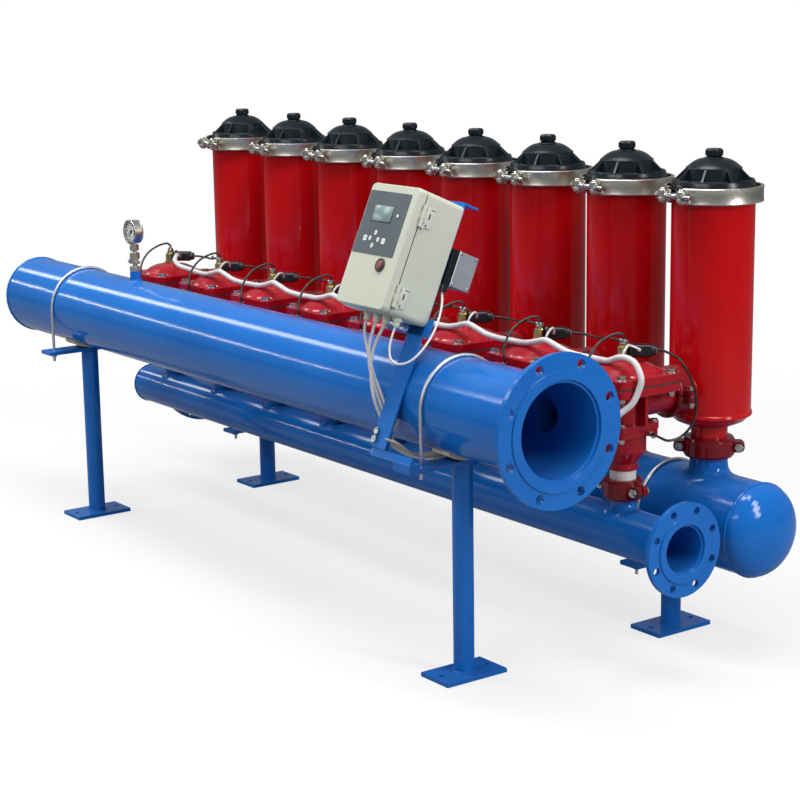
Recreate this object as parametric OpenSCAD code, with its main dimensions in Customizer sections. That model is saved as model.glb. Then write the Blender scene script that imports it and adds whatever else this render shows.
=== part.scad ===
// Automatic backflush battery of eight disc filters on three pipe manifolds

/* [Layout] */
// Distance between neighbouring filters
unit_pitch = 290; // [280:1:320]
// Distance from the inlet pipe axis to the valve axes
valve_offset = 330; // [325:1:350]
// Distance from the valve axes to the filter axes
filter_offset = 270; // [265:1:300]
// How far the row of filters sits off the middle, towards the domed end
row_shift = 39; // [20:1:60]
// Height of the inlet pipe axis above the floor
inlet_z = 625; // [610:1:640]
// Height of the valve ports
port_z = 620; // [615:1:625]
// Height of the drain pipe axis
drain_z = 316; // [300:1:320]
// Height of the outlet pipe axis
outlet_z = 304; // [290:1:310]

/* [Main pipes] */
// Outer diameter of the inlet and outlet pipes
main_od = 219; // [210:0.5:222]
// Wall of the inlet and outlet pipes
main_wall = 6; // [4:0.5:10]
// Depth of the domed pipe ends
main_head = 58; // [40:1:80]
// Distance from the last filter to the inlet flange face
inlet_flange_run = 172; // [150:1:220]
// Distance from the first filter to the inlet pipe's domed end
inlet_head_run = 228; // [200:1:260]
// Distance from the outer filters to the ends of the outlet pipe
outlet_end_run = 259; // [240:1:300]

/* [Drain pipe] */
// Outer diameter of the drain pipe
drain_od = 114; // [108:0.5:118]
// Wall of the drain pipe
drain_wall = 4.5; // [3:0.5:6]
// Depth of the drain pipe's domed end
drain_head = 28; // [20:1:40]
// Distance from the last filter to the drain flange face
drain_flange_run = 205; // [180:1:230]
// Distance from the first filter to the drain pipe's domed end
drain_head_run = 158; // [140:1:200]

/* [Flanges] */
// Outer diameter of the inlet and outlet flanges
main_flange_od = 335; // [328:1:345]
// Bolt circle of the inlet and outlet flanges
main_flange_pcd = 295; // [290:0.5:300]
// Bolt holes of the inlet and outlet flanges
main_flange_hole = 22; // [18:0.5:24]
// Thickness of the inlet and outlet flanges
main_flange_t = 14; // [12:1:24]
// Raised face of the inlet and outlet flanges
main_face_od = 262; // [240:1:266]
// Outer diameter of the drain flange
drain_flange_od = 215; // [208:1:225]
// Bolt circle of the drain flange
drain_flange_pcd = 180; // [176:0.5:184]
// Bolt holes of the drain flange
drain_flange_hole = 18; // [14:0.5:20]
// Thickness of the drain flange
drain_flange_t = 14; // [12:1:22]
// Raised face of the drain flange
drain_face_od = 152; // [140:1:156]
// Height of the raised faces
face_h = 3; // [2:0.5:4]
// How far a pipe end stops behind its flange face
pipe_setback = 6; // [4:1:9]

/* [Branch pipes] */
// Outer diameter of the valve ports, inlet stubs and outlet risers
branch_od = 89; // [86:0.5:92]
// Wall of those pipes
branch_wall = 5; // [3:0.5:6]
// Outer diameter of the drain stubs
small_od = 60; // [57:0.5:63]
// Wall of the drain stubs
small_wall = 4; // [3:0.5:5]
// Width of a grooved coupling
coupling_w = 46; // [42:1:48]
// Distance from a coupling's middle to the pipe groove
groove_at = 15; // [13:0.5:17]
// Depth of the pipe groove
groove_depth = 2; // [1:0.25:2.5]

/* [Filter housing] */
// Outer diameter of the housing
housing_od = 190; // [180:1:194]
// Wall of the housing
housing_wall = 4; // [3:0.5:5]
// Height of the coupling between riser and housing
riser_top_z = 474; // [468:1:480]
// Outer diameter of the neck under the housing
neck_od = 85; // [80:1:85]
// Height where the dished bottom leaves the neck
neck_top_z = 528; // [524:1:532]
// Height of the bead round the bottom of the housing
bead_z = 556; // [552:1:560]
// Height of the joint between housing and cover
joint_z = 1064; // [1040:1:1090]
// Outer diameter of the lips held by the clamp
lip_od = 210; // [204:1:214]
// Thickness of each lip
lip_t = 12; // [10:1:14]
// Thickness of the cover seal
seal_t = 2; // [1:0.5:3]

/* [Cover] */
// Wall of the cover
cover_wall = 6; // [5:0.5:8]
// Radius of the cover's base ring
ring_r = 93; // [90:1:95]
// Height of the base ring above the lip
ring_h = 16; // [12:1:20]
// Radius of the drum behind the ribs
drum_r = 63; // [56:1:68]
// Height of the drum's shoulder above the base ring
drum_h = 28; // [22:1:32]
// Rise of the dome above the shoulder
dome_rise = 21; // [16:1:26]
// Number of ribs on the cover
cover_ribs = 8; // [6:1:10]
// Thickness of the ribs
rib_t = 5; // [4:0.5:7]
// Direction of the first rib
rib_angle = 28; // [0:1:45]
// Diameter of the vent cap
vent_od = 38; // [34:1:42]
// Height of the vent cap
vent_h = 21; // [18:1:26]

/* [Clamp] */
// Outer diameter of the clamp band
band_od = 226; // [222:1:230]
// Sheet thickness of the clamp band
band_t = 3; // [2:0.5:4]
// Direction of the clamp's closure round the filter
latch_angle = 266; // [200:1:300]

/* [Valve] */
// Half the length between the valve's ports
valve_half = 142; // [138:1:146]
// Side of the square bonnet flanges
bonnet_side = 190; // [180:1:196]
// Thickness of the bonnet flanges
bonnet_t = 18; // [14:1:20]
// Half the spacing of the bonnet bolts
bonnet_bolt_half = 74; // [70:1:78]
// Underside of the upper flange of the valve body
body_flange_z = 645; // [640:1:650]
// Thickness of the bonnet gasket
gasket_t = 4; // [2:0.5:5]
// Side of the square lower flanges
lower_side = 120; // [114:1:126]
// Thickness of the lower flanges
lower_t = 14; // [12:1:20]
// Height of the joint between the lower flanges
lower_joint_z = 558; // [554:1:562]
// Radius of the valve chamber
chamber_r = 42; // [40:0.5:44]
// Wall of the valve chamber
chamber_wall = 10; // [8:0.5:12]
// Travel of the valve plunger
plunger_travel = 18; // [12:1:20]
// Height of the coupling between valve outlet and drain stub
drain_joint_z = 417; // [412:1:422]
// Height of the red outlet's lower end
tail_z = 462; // [458:1:466]

/* [Solenoids] */
// Width across the flats of the brass body
brass_w = 28; // [24:1:30]
// Height of the brass body
brass_h = 36; // [32:1:40]
// Length of the coil
coil_len = 58; // [50:1:62]
// Width and height of the coil
coil_w = 28; // [24:1:30]
// Direction of the coils
coil_angle = 45; // [30:1:60]

/* [Stand] */
// Outer diameter of the leg tubes
leg_od = 48; // [42:0.5:52]
// Length of a foot plate
foot_len = 170; // [160:1:180]
// Width of a foot plate
foot_w = 100; // [90:1:110]
// Thickness of a foot plate
foot_t = 10; // [8:1:14]
// Half the spacing of the foot holes
foot_hole_half = 65; // [60:1:70]
// Diameter of the foot holes
foot_hole = 14; // [12:0.5:16]
// Length of a saddle bar
saddle_len = 280; // [272:1:290]
// Width of a saddle bar
saddle_w = 60; // [50:1:66]
// Thickness of a saddle bar
saddle_t = 10; // [8:1:12]
// Thickness of the pads under the pipes
pad_t = 8; // [6:0.5:10]
// Rod diameter of the U-bolts
u_rod = 8; // [7:0.5:12]

/* [Controller] */
// Lean of the controller and its strap
lean = 23.5; // [18:0.5:28]
// Width of the controller
box_w = 180; // [176:1:190]
// Height of the controller
box_h = 280; // [272:1:290]
// Depth of the controller box
box_d = 106; // [98:1:112]
// Depth of the lid
lid_d = 22; // [18:1:26]
// Wall of box and lid
box_wall = 3; // [2:0.5:4]
// Corner radius of box and lid
box_r = 12; // [8:1:16]
// How far up the lean the box starts
box_rise = 138; // [134:1:150]
// Distance from the last filter back to the box's left side
box_run = 407; // [395:1:420]
// Thickness of the strap
strap_t = 5; // [4:0.5:6]
// Width of the strap
strap_w = 54; // [48:1:60]

/* [Gauge] */
// Outer diameter of the gauge case
gauge_od = 68; // [63:1:72]
// Depth of the gauge case
gauge_d = 30; // [26:1:34]
// Height of the gauge's middle above the inlet pipe axis
gauge_rise = 247; // [240:1:255]
// Distance from the first filter to the gauge
gauge_run = 384; // [370:1:400]

/* [Clearances] */
// Gap between pieces that seat without a fit
seat_gap = 0.3; // [0.2:0.05:0.5]
// Radial gap of a sliding fit
slide_gap = 0.05; // [0.02:0.01:0.1]
// Gap between the pipe ends inside a coupling
pipe_gap = 3; // [2:0.5:4]
// Radial gap of a bolt in its hole
bolt_gap = 0.5; // [0.3:0.1:1]

/* [Hidden] */
$fn = 48;
units = 8;
half_row = (units - 1) / 2;
inlet_y = -(valve_offset + filter_offset) / 2;
valve_y = inlet_y + valve_offset;
filter_y = valve_y + filter_offset;
function unit_x(i) = row_shift + (i - half_row) * unit_pitch;
first_x = unit_x(0);
last_x = unit_x(units - 1);

// Ends of the manifolds
main_r = main_od / 2;
inlet_flange_x = last_x + inlet_flange_run;
inlet_head_x = first_x - inlet_head_run;
outlet_half = half_row * unit_pitch + outlet_end_run;
outlet_flange_x = -outlet_half;
outlet_head_x = outlet_half - main_head;
drain_flange_x = last_x + drain_flange_run;
drain_head_x = first_x - drain_head_run;

// Branch pipes
branch_r = branch_od / 2;
small_r = small_od / 2;
groove_w = coupling_w / 2 - groove_at;
key_slack = 0.5;
coupling_wall = 8;
ear_t = 13;
ear_r = 13;
coupling_bolt = 12;
split_gap = 3;

// Filter heights and radii
housing_r = housing_od / 2;
housing_in_r = housing_r - housing_wall;
lip_r = lip_od / 2;
housing_top_z = joint_z - seal_t / 2;
cover_low_z = joint_z + seal_t / 2;
cover_lip_top_z = cover_low_z + lip_t;
ring_top_z = cover_lip_top_z + ring_h;
shoulder_z = ring_top_z + drum_h;
dome_top_r = 22;
dome_top_z = shoulder_z + dome_rise;
vent_hole_r = 12;
band_low_z = housing_top_z - lip_t - seat_gap - band_t;
band_high_z = cover_lip_top_z + seat_gap + band_t;
band_hook_r = housing_r + 4;
latch_gap_angle = 12;

// Disc cartridge inside each filter
spine_base_z = bead_z + 8;
spine_base_t = 10;
spine_r = 42;
spine_wall = 4;
disc_r = 76;
disc_low_z = spine_base_z + spine_base_t;
disc_high_z = joint_z - 150;
disc_groove = 12;
piston_t = 10;
piston_skirt = 22;
piston_travel = 12;
piston_z = disc_high_z + seat_gap;
rod_r = 7;
spring_wire = 5;
spring_r = 18;
spring_turns = 4;
spring_h = 46;
spring_low_z = piston_z + piston_skirt + piston_t;
nut_z = spring_low_z + spring_h;
nut_h = 12;

// Valve heights
body_top_z = body_flange_z + bonnet_t;
bonnet_low_z = body_top_z + gasket_t;
bonnet_flange_top_z = bonnet_low_z + bonnet_t;
bonnet_top_z = bonnet_flange_top_z + 28;
piston_bore_r = 46;
piston_bore_h = 33;
seat_r = 30;
nipple_top_z = tail_z + 13;
bonnet_bolt = 14;
lower_bolt = 10;
lower_bolt_half = lower_side / 2 - 12;

// Solenoids and their tube fittings
solenoid_z = bonnet_top_z;
coil_z = solenoid_z + brass_h / 2 + 2;
tee_z = solenoid_z + brass_h;
tee_h = 9;
tube_d = 6;
lead_d = 5;
trunk_d = 14;
cable_d = 7;
switch_cable_d = 5;

// Stand
saddle_top_inlet = inlet_z - main_r - pad_t;
saddle_top_outlet = outlet_z - main_r - pad_t;
front_right_x = last_x - 165;
front_left_x = first_x + 81;
rear_right_x = last_x - 119;
rear_left_x = first_x + 87;
u_r = main_r + u_rod / 2 + seat_gap;
u_nut_h = 10;
u_tail = 12;

// Controller, in a frame that leans back round the inlet pipe axis
strap_back = -main_r - seat_gap;
strap_front = strap_back - strap_t;
box_front = strap_front - box_d;
lid_gap = 0.5;
lid_back = box_front - lid_gap;
lid_front = lid_back - lid_d;
box_x = last_x - box_run;
box_x1 = box_x + box_w;
strap_x = box_x1 - 5 - strap_w;
strap_low = -146;
strap_high = box_rise + box_h + 10;
strap_lip = 42;
lug_t = 8;
lug_low = -166;
lug_high = -101;
lug_arm = 20;
bar_block = 12;
hinge_r = 5;
hinge_x = box_x1 + hinge_r + 0.5;
hinge_y = (box_front + lid_back) / 2;
hinge_seg = 16;
hinge_pin_r = 2;
hinge_at = [40, 224];
panel_w = 153;
panel_h = 145;
panel_u = 4;
panel_v = 117;
panel_t = 0.8;
button_u = 123;
button_v = 97;
button_r = 10;
button_proud = 6;
button_travel = 4;
gland_u = [50, 86, 121, 160];
gland_back = 63;
gland_r = 9;
gland_y = lid_front + gland_back;
gland_h = 20;
switch_x = box_x1 - 51;
switch_w = 58;
switch_low = 243;
switch_h = 80;
switch_base_t = 16;
switch_cover_d = 56;

// Gauge
gauge_x = first_x + gauge_run;
gauge_z = inlet_z + gauge_rise;
gauge_r = gauge_od / 2;
socket_r = 15;
socket_top_z = inlet_z + main_r + 28;
stem_low_z = gauge_z - gauge_r + 4;
gauge_wall = 3;
dial_y = inlet_y - gauge_d / 2 + 9;
lens_t = 2;
pointer_gap = 2;

blue = [0.10, 0.36, 0.72];
red = [0.72, 0.06, 0.10];
black = [0.08, 0.09, 0.11];
steel = [0.70, 0.69, 0.66];
brass = [0.62, 0.54, 0.34];
beige = [0.80, 0.80, 0.72];
white = [0.82, 0.80, 0.78];

// Shared shapes

module along_x(x, y, z) {
  translate([x, y, z]) rotate([0, 90, 0]) children();
}

module along_y(x, y, z) {
  translate([x, y, z]) rotate([-90, 0, 0]) children();
}

module each_unit() {
  for (i = [0 : units - 1]) translate([unit_x(i), 0, 0]) children();
}

module each_corner(a) {
  for (sx = [-1, 1], sy = [-1, 1]) translate([sx * a, sy * a, 0]) children();
}

module rounded_rect(w, h, r) {
  translate([r, 0]) square([w - 2 * r, h]);
  translate([0, r]) square([w, h - 2 * r]);
  for (x = [r, w - r], y = [r, h - r]) translate([x, y]) circle(r);
}

module rounded_plate(side, t, r) {
  translate([-side / 2, -side / 2, 0]) linear_extrude(t) rounded_rect(side, side, r);
}

// Half an ellipse turned into a domed end, from z = 0 up
module domed_head(r, depth) {
  steps = 12;
  rotate_extrude() polygon(concat(
    [[0, 0]],
    [for (i = [0 : steps]) [r * cos(90 * i / steps), depth * sin(90 * i / steps)]]
  ));
}

// Solid pipe end of length len with a coupling groove, its free end at z = 0
module grooved_end(r, len) {
  g0 = groove_at - pipe_gap / 2;
  g1 = g0 + groove_w;
  gr = r - groove_depth;
  rotate_extrude() polygon([
    [0, 0], [r, 0], [r, g0], [gr, g0], [gr, g1], [r, g1], [r, len], [0, len]
  ]);
}

module hex_nut(across, h) {
  cylinder(d = across / cos(30), h = h, $fn = 6);
}

// Hex bolt that clamps a stack from z = 0 up to z = grip, with its nut below
module hex_bolt(d, grip) {
  head = 0.65 * d;
  tail = 0.4 * d;
  translate([0, 0, grip]) hex_nut(1.5 * d, head);
  translate([0, 0, -head - tail]) cylinder(d = d, h = grip + head + tail);
  translate([0, 0, -head]) hex_nut(1.5 * d, head);
}

module flange(od, pcd, hole, t, face_od) {
  difference() {
    union() {
      cylinder(d = od, h = t - face_h, $fn = 96);
      cylinder(d = face_od, h = t, $fn = 96);
    }
    for (a = [22.5 : 45 : 359]) rotate(a) translate([pcd / 2, 0, -1]) cylinder(d = hole, h = t + 2);
  }
}

// Round tube along a list of points, built ring by ring
function unit(v) = v / norm(v);
function tangent(p, i) = unit(p[min(i + 1, len(p) - 1)] - p[max(i - 1, 0)]);
function ring(p, i, r, ref, n) = let (
  t = tangent(p, i), a = unit(cross(t, ref)), b = cross(t, a)
) [for (k = [0 : n - 1]) p[i] + r * (cos(360 * k / n) * a + sin(360 * k / n) * b)];

module tube(p, d, ref, n = 8) {
  m = len(p);
  polyhedron(
    points = [for (i = [0 : m - 1]) each ring(p, i, d / 2, ref, n)],
    faces = concat(
      [[for (k = [0 : n - 1]) k]],
      [for (i = [0 : m - 2], k = [0 : n - 1]) let (l = (k + 1) % n)
        [i * n + k, (i + 1) * n + k, (i + 1) * n + l, i * n + l]],
      [[for (k = [n - 1 : -1 : 0]) (m - 1) * n + k]]
    )
  );
}

// Manifolds

module inlet_manifold() color(blue) difference() {
  union() {
    along_x(inlet_head_x, inlet_y, inlet_z)
      cylinder(r = main_r, h = inlet_flange_x - pipe_setback - inlet_head_x, $fn = 96);
    along_x(inlet_head_x, inlet_y, inlet_z) mirror([0, 0, 1]) domed_head(main_r, main_head);
    along_x(inlet_flange_x - main_flange_t, inlet_y, inlet_z)
      flange(main_flange_od, main_flange_pcd, main_flange_hole, main_flange_t, main_face_od);
    each_unit() inlet_stub();
    translate([gauge_x, inlet_y, inlet_z]) cylinder(r = socket_r, h = socket_top_z - inlet_z);
  }
  along_x(inlet_head_x - 1, inlet_y, inlet_z)
    cylinder(r = main_r - main_wall, h = inlet_flange_x - inlet_head_x + 2, $fn = 96);
  along_x(inlet_head_x, inlet_y, inlet_z) mirror([0, 0, 1])
    domed_head(main_r - main_wall, main_head - main_wall);
  along_x(inlet_flange_x - pipe_setback, inlet_y, inlet_z)
    cylinder(r = main_r + 1, h = pipe_setback + 1, $fn = 96);
  each_unit() along_y(0, inlet_y, port_z)
    cylinder(r = branch_r - branch_wall, h = valve_y - valve_half - inlet_y);
  translate([gauge_x, inlet_y, inlet_z]) cylinder(r = 7, h = socket_top_z - inlet_z + 1);
}

module inlet_stub() {
  stub_len = valve_y - valve_half - pipe_gap / 2 - inlet_y;
  translate([0, inlet_y + stub_len, port_z]) rotate([90, 0, 0]) grooved_end(branch_r, stub_len);
}

module outlet_manifold() color(blue) difference() {
  union() {
    along_x(outlet_flange_x + pipe_setback, filter_y, outlet_z)
      cylinder(r = main_r, h = outlet_head_x - outlet_flange_x - pipe_setback, $fn = 96);
    along_x(outlet_head_x, filter_y, outlet_z) domed_head(main_r, main_head);
    along_x(outlet_flange_x + main_flange_t, filter_y, outlet_z) mirror([0, 0, 1])
      flange(main_flange_od, main_flange_pcd, main_flange_hole, main_flange_t, main_face_od);
    each_unit() translate([0, filter_y, riser_top_z - pipe_gap / 2]) mirror([0, 0, 1])
      grooved_end(branch_r, riser_top_z - pipe_gap / 2 - outlet_z);
  }
  along_x(outlet_flange_x - 1, filter_y, outlet_z)
    cylinder(r = main_r - main_wall, h = outlet_head_x - outlet_flange_x + 2, $fn = 96);
  along_x(outlet_head_x, filter_y, outlet_z) domed_head(main_r - main_wall, main_head - main_wall);
  along_x(outlet_flange_x - 1, filter_y, outlet_z) cylinder(r = main_r + 1, h = pipe_setback + 1, $fn = 96);
  each_unit() translate([0, filter_y, outlet_z])
    cylinder(r = branch_r - branch_wall, h = riser_top_z - outlet_z);
}

module drain_manifold() color(blue) difference() {
  union() {
    along_x(drain_head_x, valve_y, drain_z)
      cylinder(d = drain_od, h = drain_flange_x - pipe_setback - drain_head_x, $fn = 72);
    along_x(drain_head_x, valve_y, drain_z) mirror([0, 0, 1]) domed_head(drain_od / 2, drain_head);
    along_x(drain_flange_x - drain_flange_t, valve_y, drain_z)
      flange(drain_flange_od, drain_flange_pcd, drain_flange_hole, drain_flange_t, drain_face_od);
    each_unit() translate([0, valve_y, drain_joint_z - pipe_gap / 2]) mirror([0, 0, 1])
      grooved_end(small_r, drain_joint_z - pipe_gap / 2 - drain_z);
  }
  along_x(drain_head_x - 1, valve_y, drain_z)
    cylinder(d = drain_od - 2 * drain_wall, h = drain_flange_x - drain_head_x + 2, $fn = 72);
  along_x(drain_head_x, valve_y, drain_z) mirror([0, 0, 1])
    domed_head(drain_od / 2 - drain_wall, drain_head - drain_wall);
  along_x(drain_flange_x - pipe_setback, valve_y, drain_z)
    cylinder(d = drain_od + 2, h = pipe_setback + 1, $fn = 72);
  each_unit() translate([0, valve_y, drain_z])
    cylinder(r = small_r - small_wall, h = drain_joint_z - drain_z);
}

// Stand

module leg(x, y, saddle_top) {
  saddle_low = saddle_top - saddle_t;
  difference() {
    union() {
      translate([x - foot_w / 2, y - foot_len / 2, 0]) cube([foot_w, foot_len, foot_t]);
      translate([x, y, 0]) cylinder(d = leg_od, h = saddle_low + 1);
      translate([x - saddle_w / 2, y - saddle_len / 2, saddle_low]) cube([saddle_w, saddle_len, saddle_t]);
    }
    for (s = [-1, 1]) {
      translate([x, y + s * foot_hole_half, -1]) cylinder(d = foot_hole, h = foot_t + 2);
      translate([x, y + s * u_r, saddle_low - 1]) cylinder(d = u_rod + 2 * bolt_gap, h = saddle_t + 2);
    }
  }
}

module front_leg_left() color(blue) leg(front_left_x, inlet_y, saddle_top_inlet);

// The right front leg also carries the lug that the controller strap is bolted to
module front_leg_right() color(blue) {
  lug_x1 = front_right_x + saddle_w / 2;
  difference() {
    union() {
      leg(front_right_x, inlet_y, saddle_top_inlet);
      translate([front_right_x - saddle_w / 2, inlet_y - saddle_len / 2 - 27, saddle_top_inlet - saddle_t])
        cube([saddle_w, 28, saddle_t + bar_block]);
      leaning() translate([strap_x, strap_back, lug_low]) {
        cube([lug_x1 - strap_x, lug_t, lug_arm]);
        cube([strap_w - 6, lug_t, lug_high - lug_low]);
      }
    }
    leaning() strap_bolt_places() cylinder(r = lower_bolt / 2 + bolt_gap, h = 40, center = true);
  }
}

module rear_leg_left() color(blue) leg(rear_left_x, filter_y, saddle_top_outlet);
module rear_leg_right() color(blue) leg(rear_right_x, filter_y, saddle_top_outlet);

module each_saddle() {
  for (x = [front_left_x, front_right_x]) translate([x, inlet_y, inlet_z]) children();
  for (x = [rear_left_x, rear_right_x]) translate([x, filter_y, outlet_z]) children();
}

module saddle_pads() color(beige) each_saddle() intersection() {
  rotate([0, 90, 0]) difference() {
    cylinder(r = main_r + pad_t, h = saddle_w, center = true, $fn = 96);
    cylinder(r = main_r + seat_gap, h = saddle_w + 2, center = true, $fn = 96);
  }
  translate([-saddle_w, -main_r * 0.55, -main_r - pad_t]) cube([2 * saddle_w, main_r * 1.1, main_r]);
}

module u_bolts() color(steel) each_saddle() {
  rotate([90, 0, 90]) rotate_extrude(angle = 180) translate([u_r, 0]) circle(d = u_rod, $fn = 24);
  drop = main_r + pad_t + saddle_t + u_nut_h + u_tail;
  for (s = [-1, 1]) translate([0, s * u_r, -drop]) cylinder(d = u_rod, h = drop, $fn = 24);
}

module u_bolt_nuts() color(steel) each_saddle() for (s = [-1, 1])
  translate([0, s * u_r, -main_r - pad_t - saddle_t - u_nut_h]) difference() {
    hex_nut(1.5 * u_rod, u_nut_h);
    translate([0, 0, -1]) cylinder(d = u_rod + 2 * slide_gap, h = u_nut_h + 2);
  }

// Filters

module filter_housings() color(red) each_unit() translate([0, filter_y, 0]) filter_housing();

module filter_housing() {
  neck_r = neck_od / 2;
  neck_low_z = riser_top_z + pipe_gap / 2;
  groove_top_z = riser_top_z + groove_at + groove_w;
  stub_y = valve_y + valve_half + pipe_gap / 2 - filter_y;
  neck_in_r = branch_r - groove_depth - branch_wall;
  bead_r = housing_r + 3;
  difference() {
    union() {
      translate([0, 0, neck_low_z]) grooved_end(branch_r, groove_top_z - neck_low_z);
      rotate_extrude($fn = 72) polygon([
        [0, groove_top_z], [neck_r, groove_top_z], [neck_r, neck_top_z],
        [neck_r + 20, neck_top_z + 2], [housing_r - 15, neck_top_z + 10], [housing_r - 3, bead_z - 7],
        [bead_r - 1, bead_z - 4], [bead_r, bead_z], [bead_r - 1, bead_z + 4], [housing_r, bead_z + 6],
        [housing_r, housing_top_z - lip_t - 10], [housing_r + 2.5, housing_top_z - lip_t - 5],
        [housing_r + 2.5, housing_top_z - lip_t], [lip_r, housing_top_z - lip_t],
        [lip_r, housing_top_z], [0, housing_top_z]
      ]);
      translate([0, stub_y, port_z]) rotate([-90, 0, 0]) grooved_end(branch_r, -stub_y);
    }
    translate([0, 0, neck_low_z - 1]) cylinder(r = neck_in_r, h = bead_z - neck_low_z + 1);
    rotate_extrude($fn = 72) polygon([
      [0, neck_top_z + 4], [neck_r + 18, neck_top_z + 6], [housing_r - 18, neck_top_z + 14],
      [housing_in_r, bead_z + 2], [housing_in_r, housing_top_z + 1], [0, housing_top_z + 1]
    ]);
    translate([0, stub_y - 1, port_z]) rotate([-90, 0, 0]) cylinder(r = branch_r - branch_wall, h = -stub_y);
  }
}

// Outline of the dome from its shoulder up to the flat top, moved in by a depth
function dome_line(depth, steps = 6) = [for (i = [0 : steps]) let (s = 1 - i / steps) [
  dome_top_r + (drum_r - depth - dome_top_r) * s,
  shoulder_z - depth + dome_rise * (1 - s * s)
]];

module filter_covers() color(black) each_unit() translate([0, filter_y, 0]) filter_cover();

module filter_cover() {
  difference() {
    union() {
      rotate_extrude($fn = 72) polygon(concat(
        [[0, cover_low_z], [lip_r, cover_low_z], [lip_r, cover_lip_top_z], [ring_r + 4, cover_lip_top_z],
         [ring_r + 2, ring_top_z - 7], [ring_r, ring_top_z], [drum_r + 3, ring_top_z]],
        dome_line(0), [[0, dome_top_z]]
      ));
      for (k = [0 : cover_ribs - 1]) rotate(rib_angle + k * 360 / cover_ribs) cover_rib();
    }
    rotate_extrude($fn = 72) polygon(concat(
      [[0, cover_low_z - 1], [ring_r - cover_wall, cover_low_z - 1],
       [ring_r - cover_wall, ring_top_z - cover_wall],
       [drum_r - cover_wall, ring_top_z - cover_wall]],
      dome_line(cover_wall), [[0, dome_top_z - cover_wall]]
    ));
    translate([0, 0, dome_top_z - 20]) cylinder(r = vent_hole_r, h = 40);
  }
}

// One upright rib from the base ring to the shoulder
module cover_rib() rotate([90, 0, 0]) linear_extrude(rib_t, center = true) polygon([
  [drum_r - 2, ring_top_z - 1], [ring_r - 1, ring_top_z - 1], [ring_r - 1, ring_top_z],
  [drum_r - 0.5, shoulder_z], [drum_r - 2, shoulder_z]
]);

module vent_caps() color(black) each_unit() translate([0, filter_y, dome_top_z + seat_gap]) {
  r = vent_od / 2;
  rotate_extrude() polygon([
    [0, -14], [vent_hole_r - seat_gap, -14], [vent_hole_r - seat_gap, 0], [r - 2, 0], [r - 1.5, 4], [r, 7],
    [r, vent_h - 3], [r - 2, vent_h], [0, vent_h]
  ]);
}

module cover_seals() color(black) each_unit() translate([0, filter_y, housing_top_z]) difference() {
  cylinder(r = lip_r - 4, h = seal_t);
  translate([0, 0, -1]) cylinder(r = housing_in_r + 3, h = seal_t + 2);
}

// Open clamp ring with two lugs at its closure
module clamp_bands() color(steel) each_unit() translate([0, filter_y, 0]) rotate(latch_angle) {
  band_r = band_od / 2;
  inner_r = band_r - band_t;
  rotate(latch_gap_angle / 2) rotate_extrude(angle = 360 - latch_gap_angle, $fn = 96) polygon([
    [band_hook_r, band_low_z], [band_r - 3, band_low_z], [band_r, band_low_z + 4], [band_r, band_high_z - 4],
    [band_r - 3, band_high_z], [band_hook_r, band_high_z], [band_hook_r, band_high_z - band_t],
    [inner_r, band_high_z - band_t], [inner_r, band_low_z + band_t], [band_hook_r, band_low_z + band_t]
  ]);
  for (s = [-1, 1]) clamp_lug(s);
}

clamp_bolt_r = 4;
lug_y = 32;
lug_half = 10;

module clamp_lug(s) {
  band_r = band_od / 2;
  difference() {
    translate([band_r - 12, s * lug_y - lug_half, joint_z - 12]) cube([28, 2 * lug_half, 24]);
    along_y(band_r + 8, s * lug_y - lug_half - 1, joint_z)
      cylinder(r = clamp_bolt_r + bolt_gap, h = 2 * lug_half + 2);
    cylinder(r = band_r - band_t + 0.5, h = 2 * joint_z, $fn = 96);
  }
}

module clamp_bolts() color(steel) each_unit() translate([0, filter_y, 0]) rotate(latch_angle)
  translate([band_od / 2 + 8, -lug_y - lug_half, joint_z]) rotate([-90, 0, 0])
    hex_bolt(2 * clamp_bolt_r, 2 * (lug_y + lug_half));

// Disc cartridges

module disc_spines() color(black) each_unit() translate([0, filter_y, 0]) difference() {
  union() {
    translate([0, 0, spine_base_z]) cylinder(r = housing_in_r - seat_gap, h = spine_base_t);
    translate([0, 0, spine_base_z]) cylinder(r = spine_r, h = disc_high_z + 10 - spine_base_z);
    translate([0, 0, disc_high_z]) cylinder(r = rod_r, h = nut_z + nut_h + 6 - disc_high_z);
    translate([0, 0, nut_z]) hex_nut(2 * spring_r + 8, nut_h);
  }
  translate([0, 0, spine_base_z - 1]) cylinder(r = spine_r - spine_wall, h = disc_high_z + 1 - spine_base_z);
  for (z = [disc_low_z + 20 : 60 : disc_high_z - 50], a = [0, 90])
    translate([0, 0, z]) rotate([0, 0, a]) cube([3 * spine_r, 16, 40], center = false);
}

// Grooved rings packed into one stack
module disc_stacks() color([0.75, 0.2, 0.15]) each_unit() translate([0, filter_y, 0]) {
  in_r = spine_r + seat_gap;
  rows = floor((disc_high_z - disc_low_z) / (2 * disc_groove));
  pitch = (disc_high_z - disc_low_z) / rows;
  rotate_extrude() polygon(concat(
    [[in_r, disc_high_z], [in_r, disc_low_z]],
    [for (i = [0 : rows - 1]) each [
      [disc_r, disc_low_z + i * pitch], [disc_r, disc_low_z + (i + 0.8) * pitch],
      [disc_r - 3, disc_low_z + (i + 0.8) * pitch], [disc_r - 3, disc_low_z + (i + 1) * pitch]]]
  ));
}

module disc_pistons() color(black) each_unit() translate([0, filter_y, piston_z]) difference() {
  cylinder(r = disc_r, h = piston_skirt + piston_t);
  translate([0, 0, -1]) cylinder(r = spine_r + 4, h = piston_skirt + 1);
  cylinder(r = rod_r + slide_gap, h = 2 * piston_skirt + piston_t);
}

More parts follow.
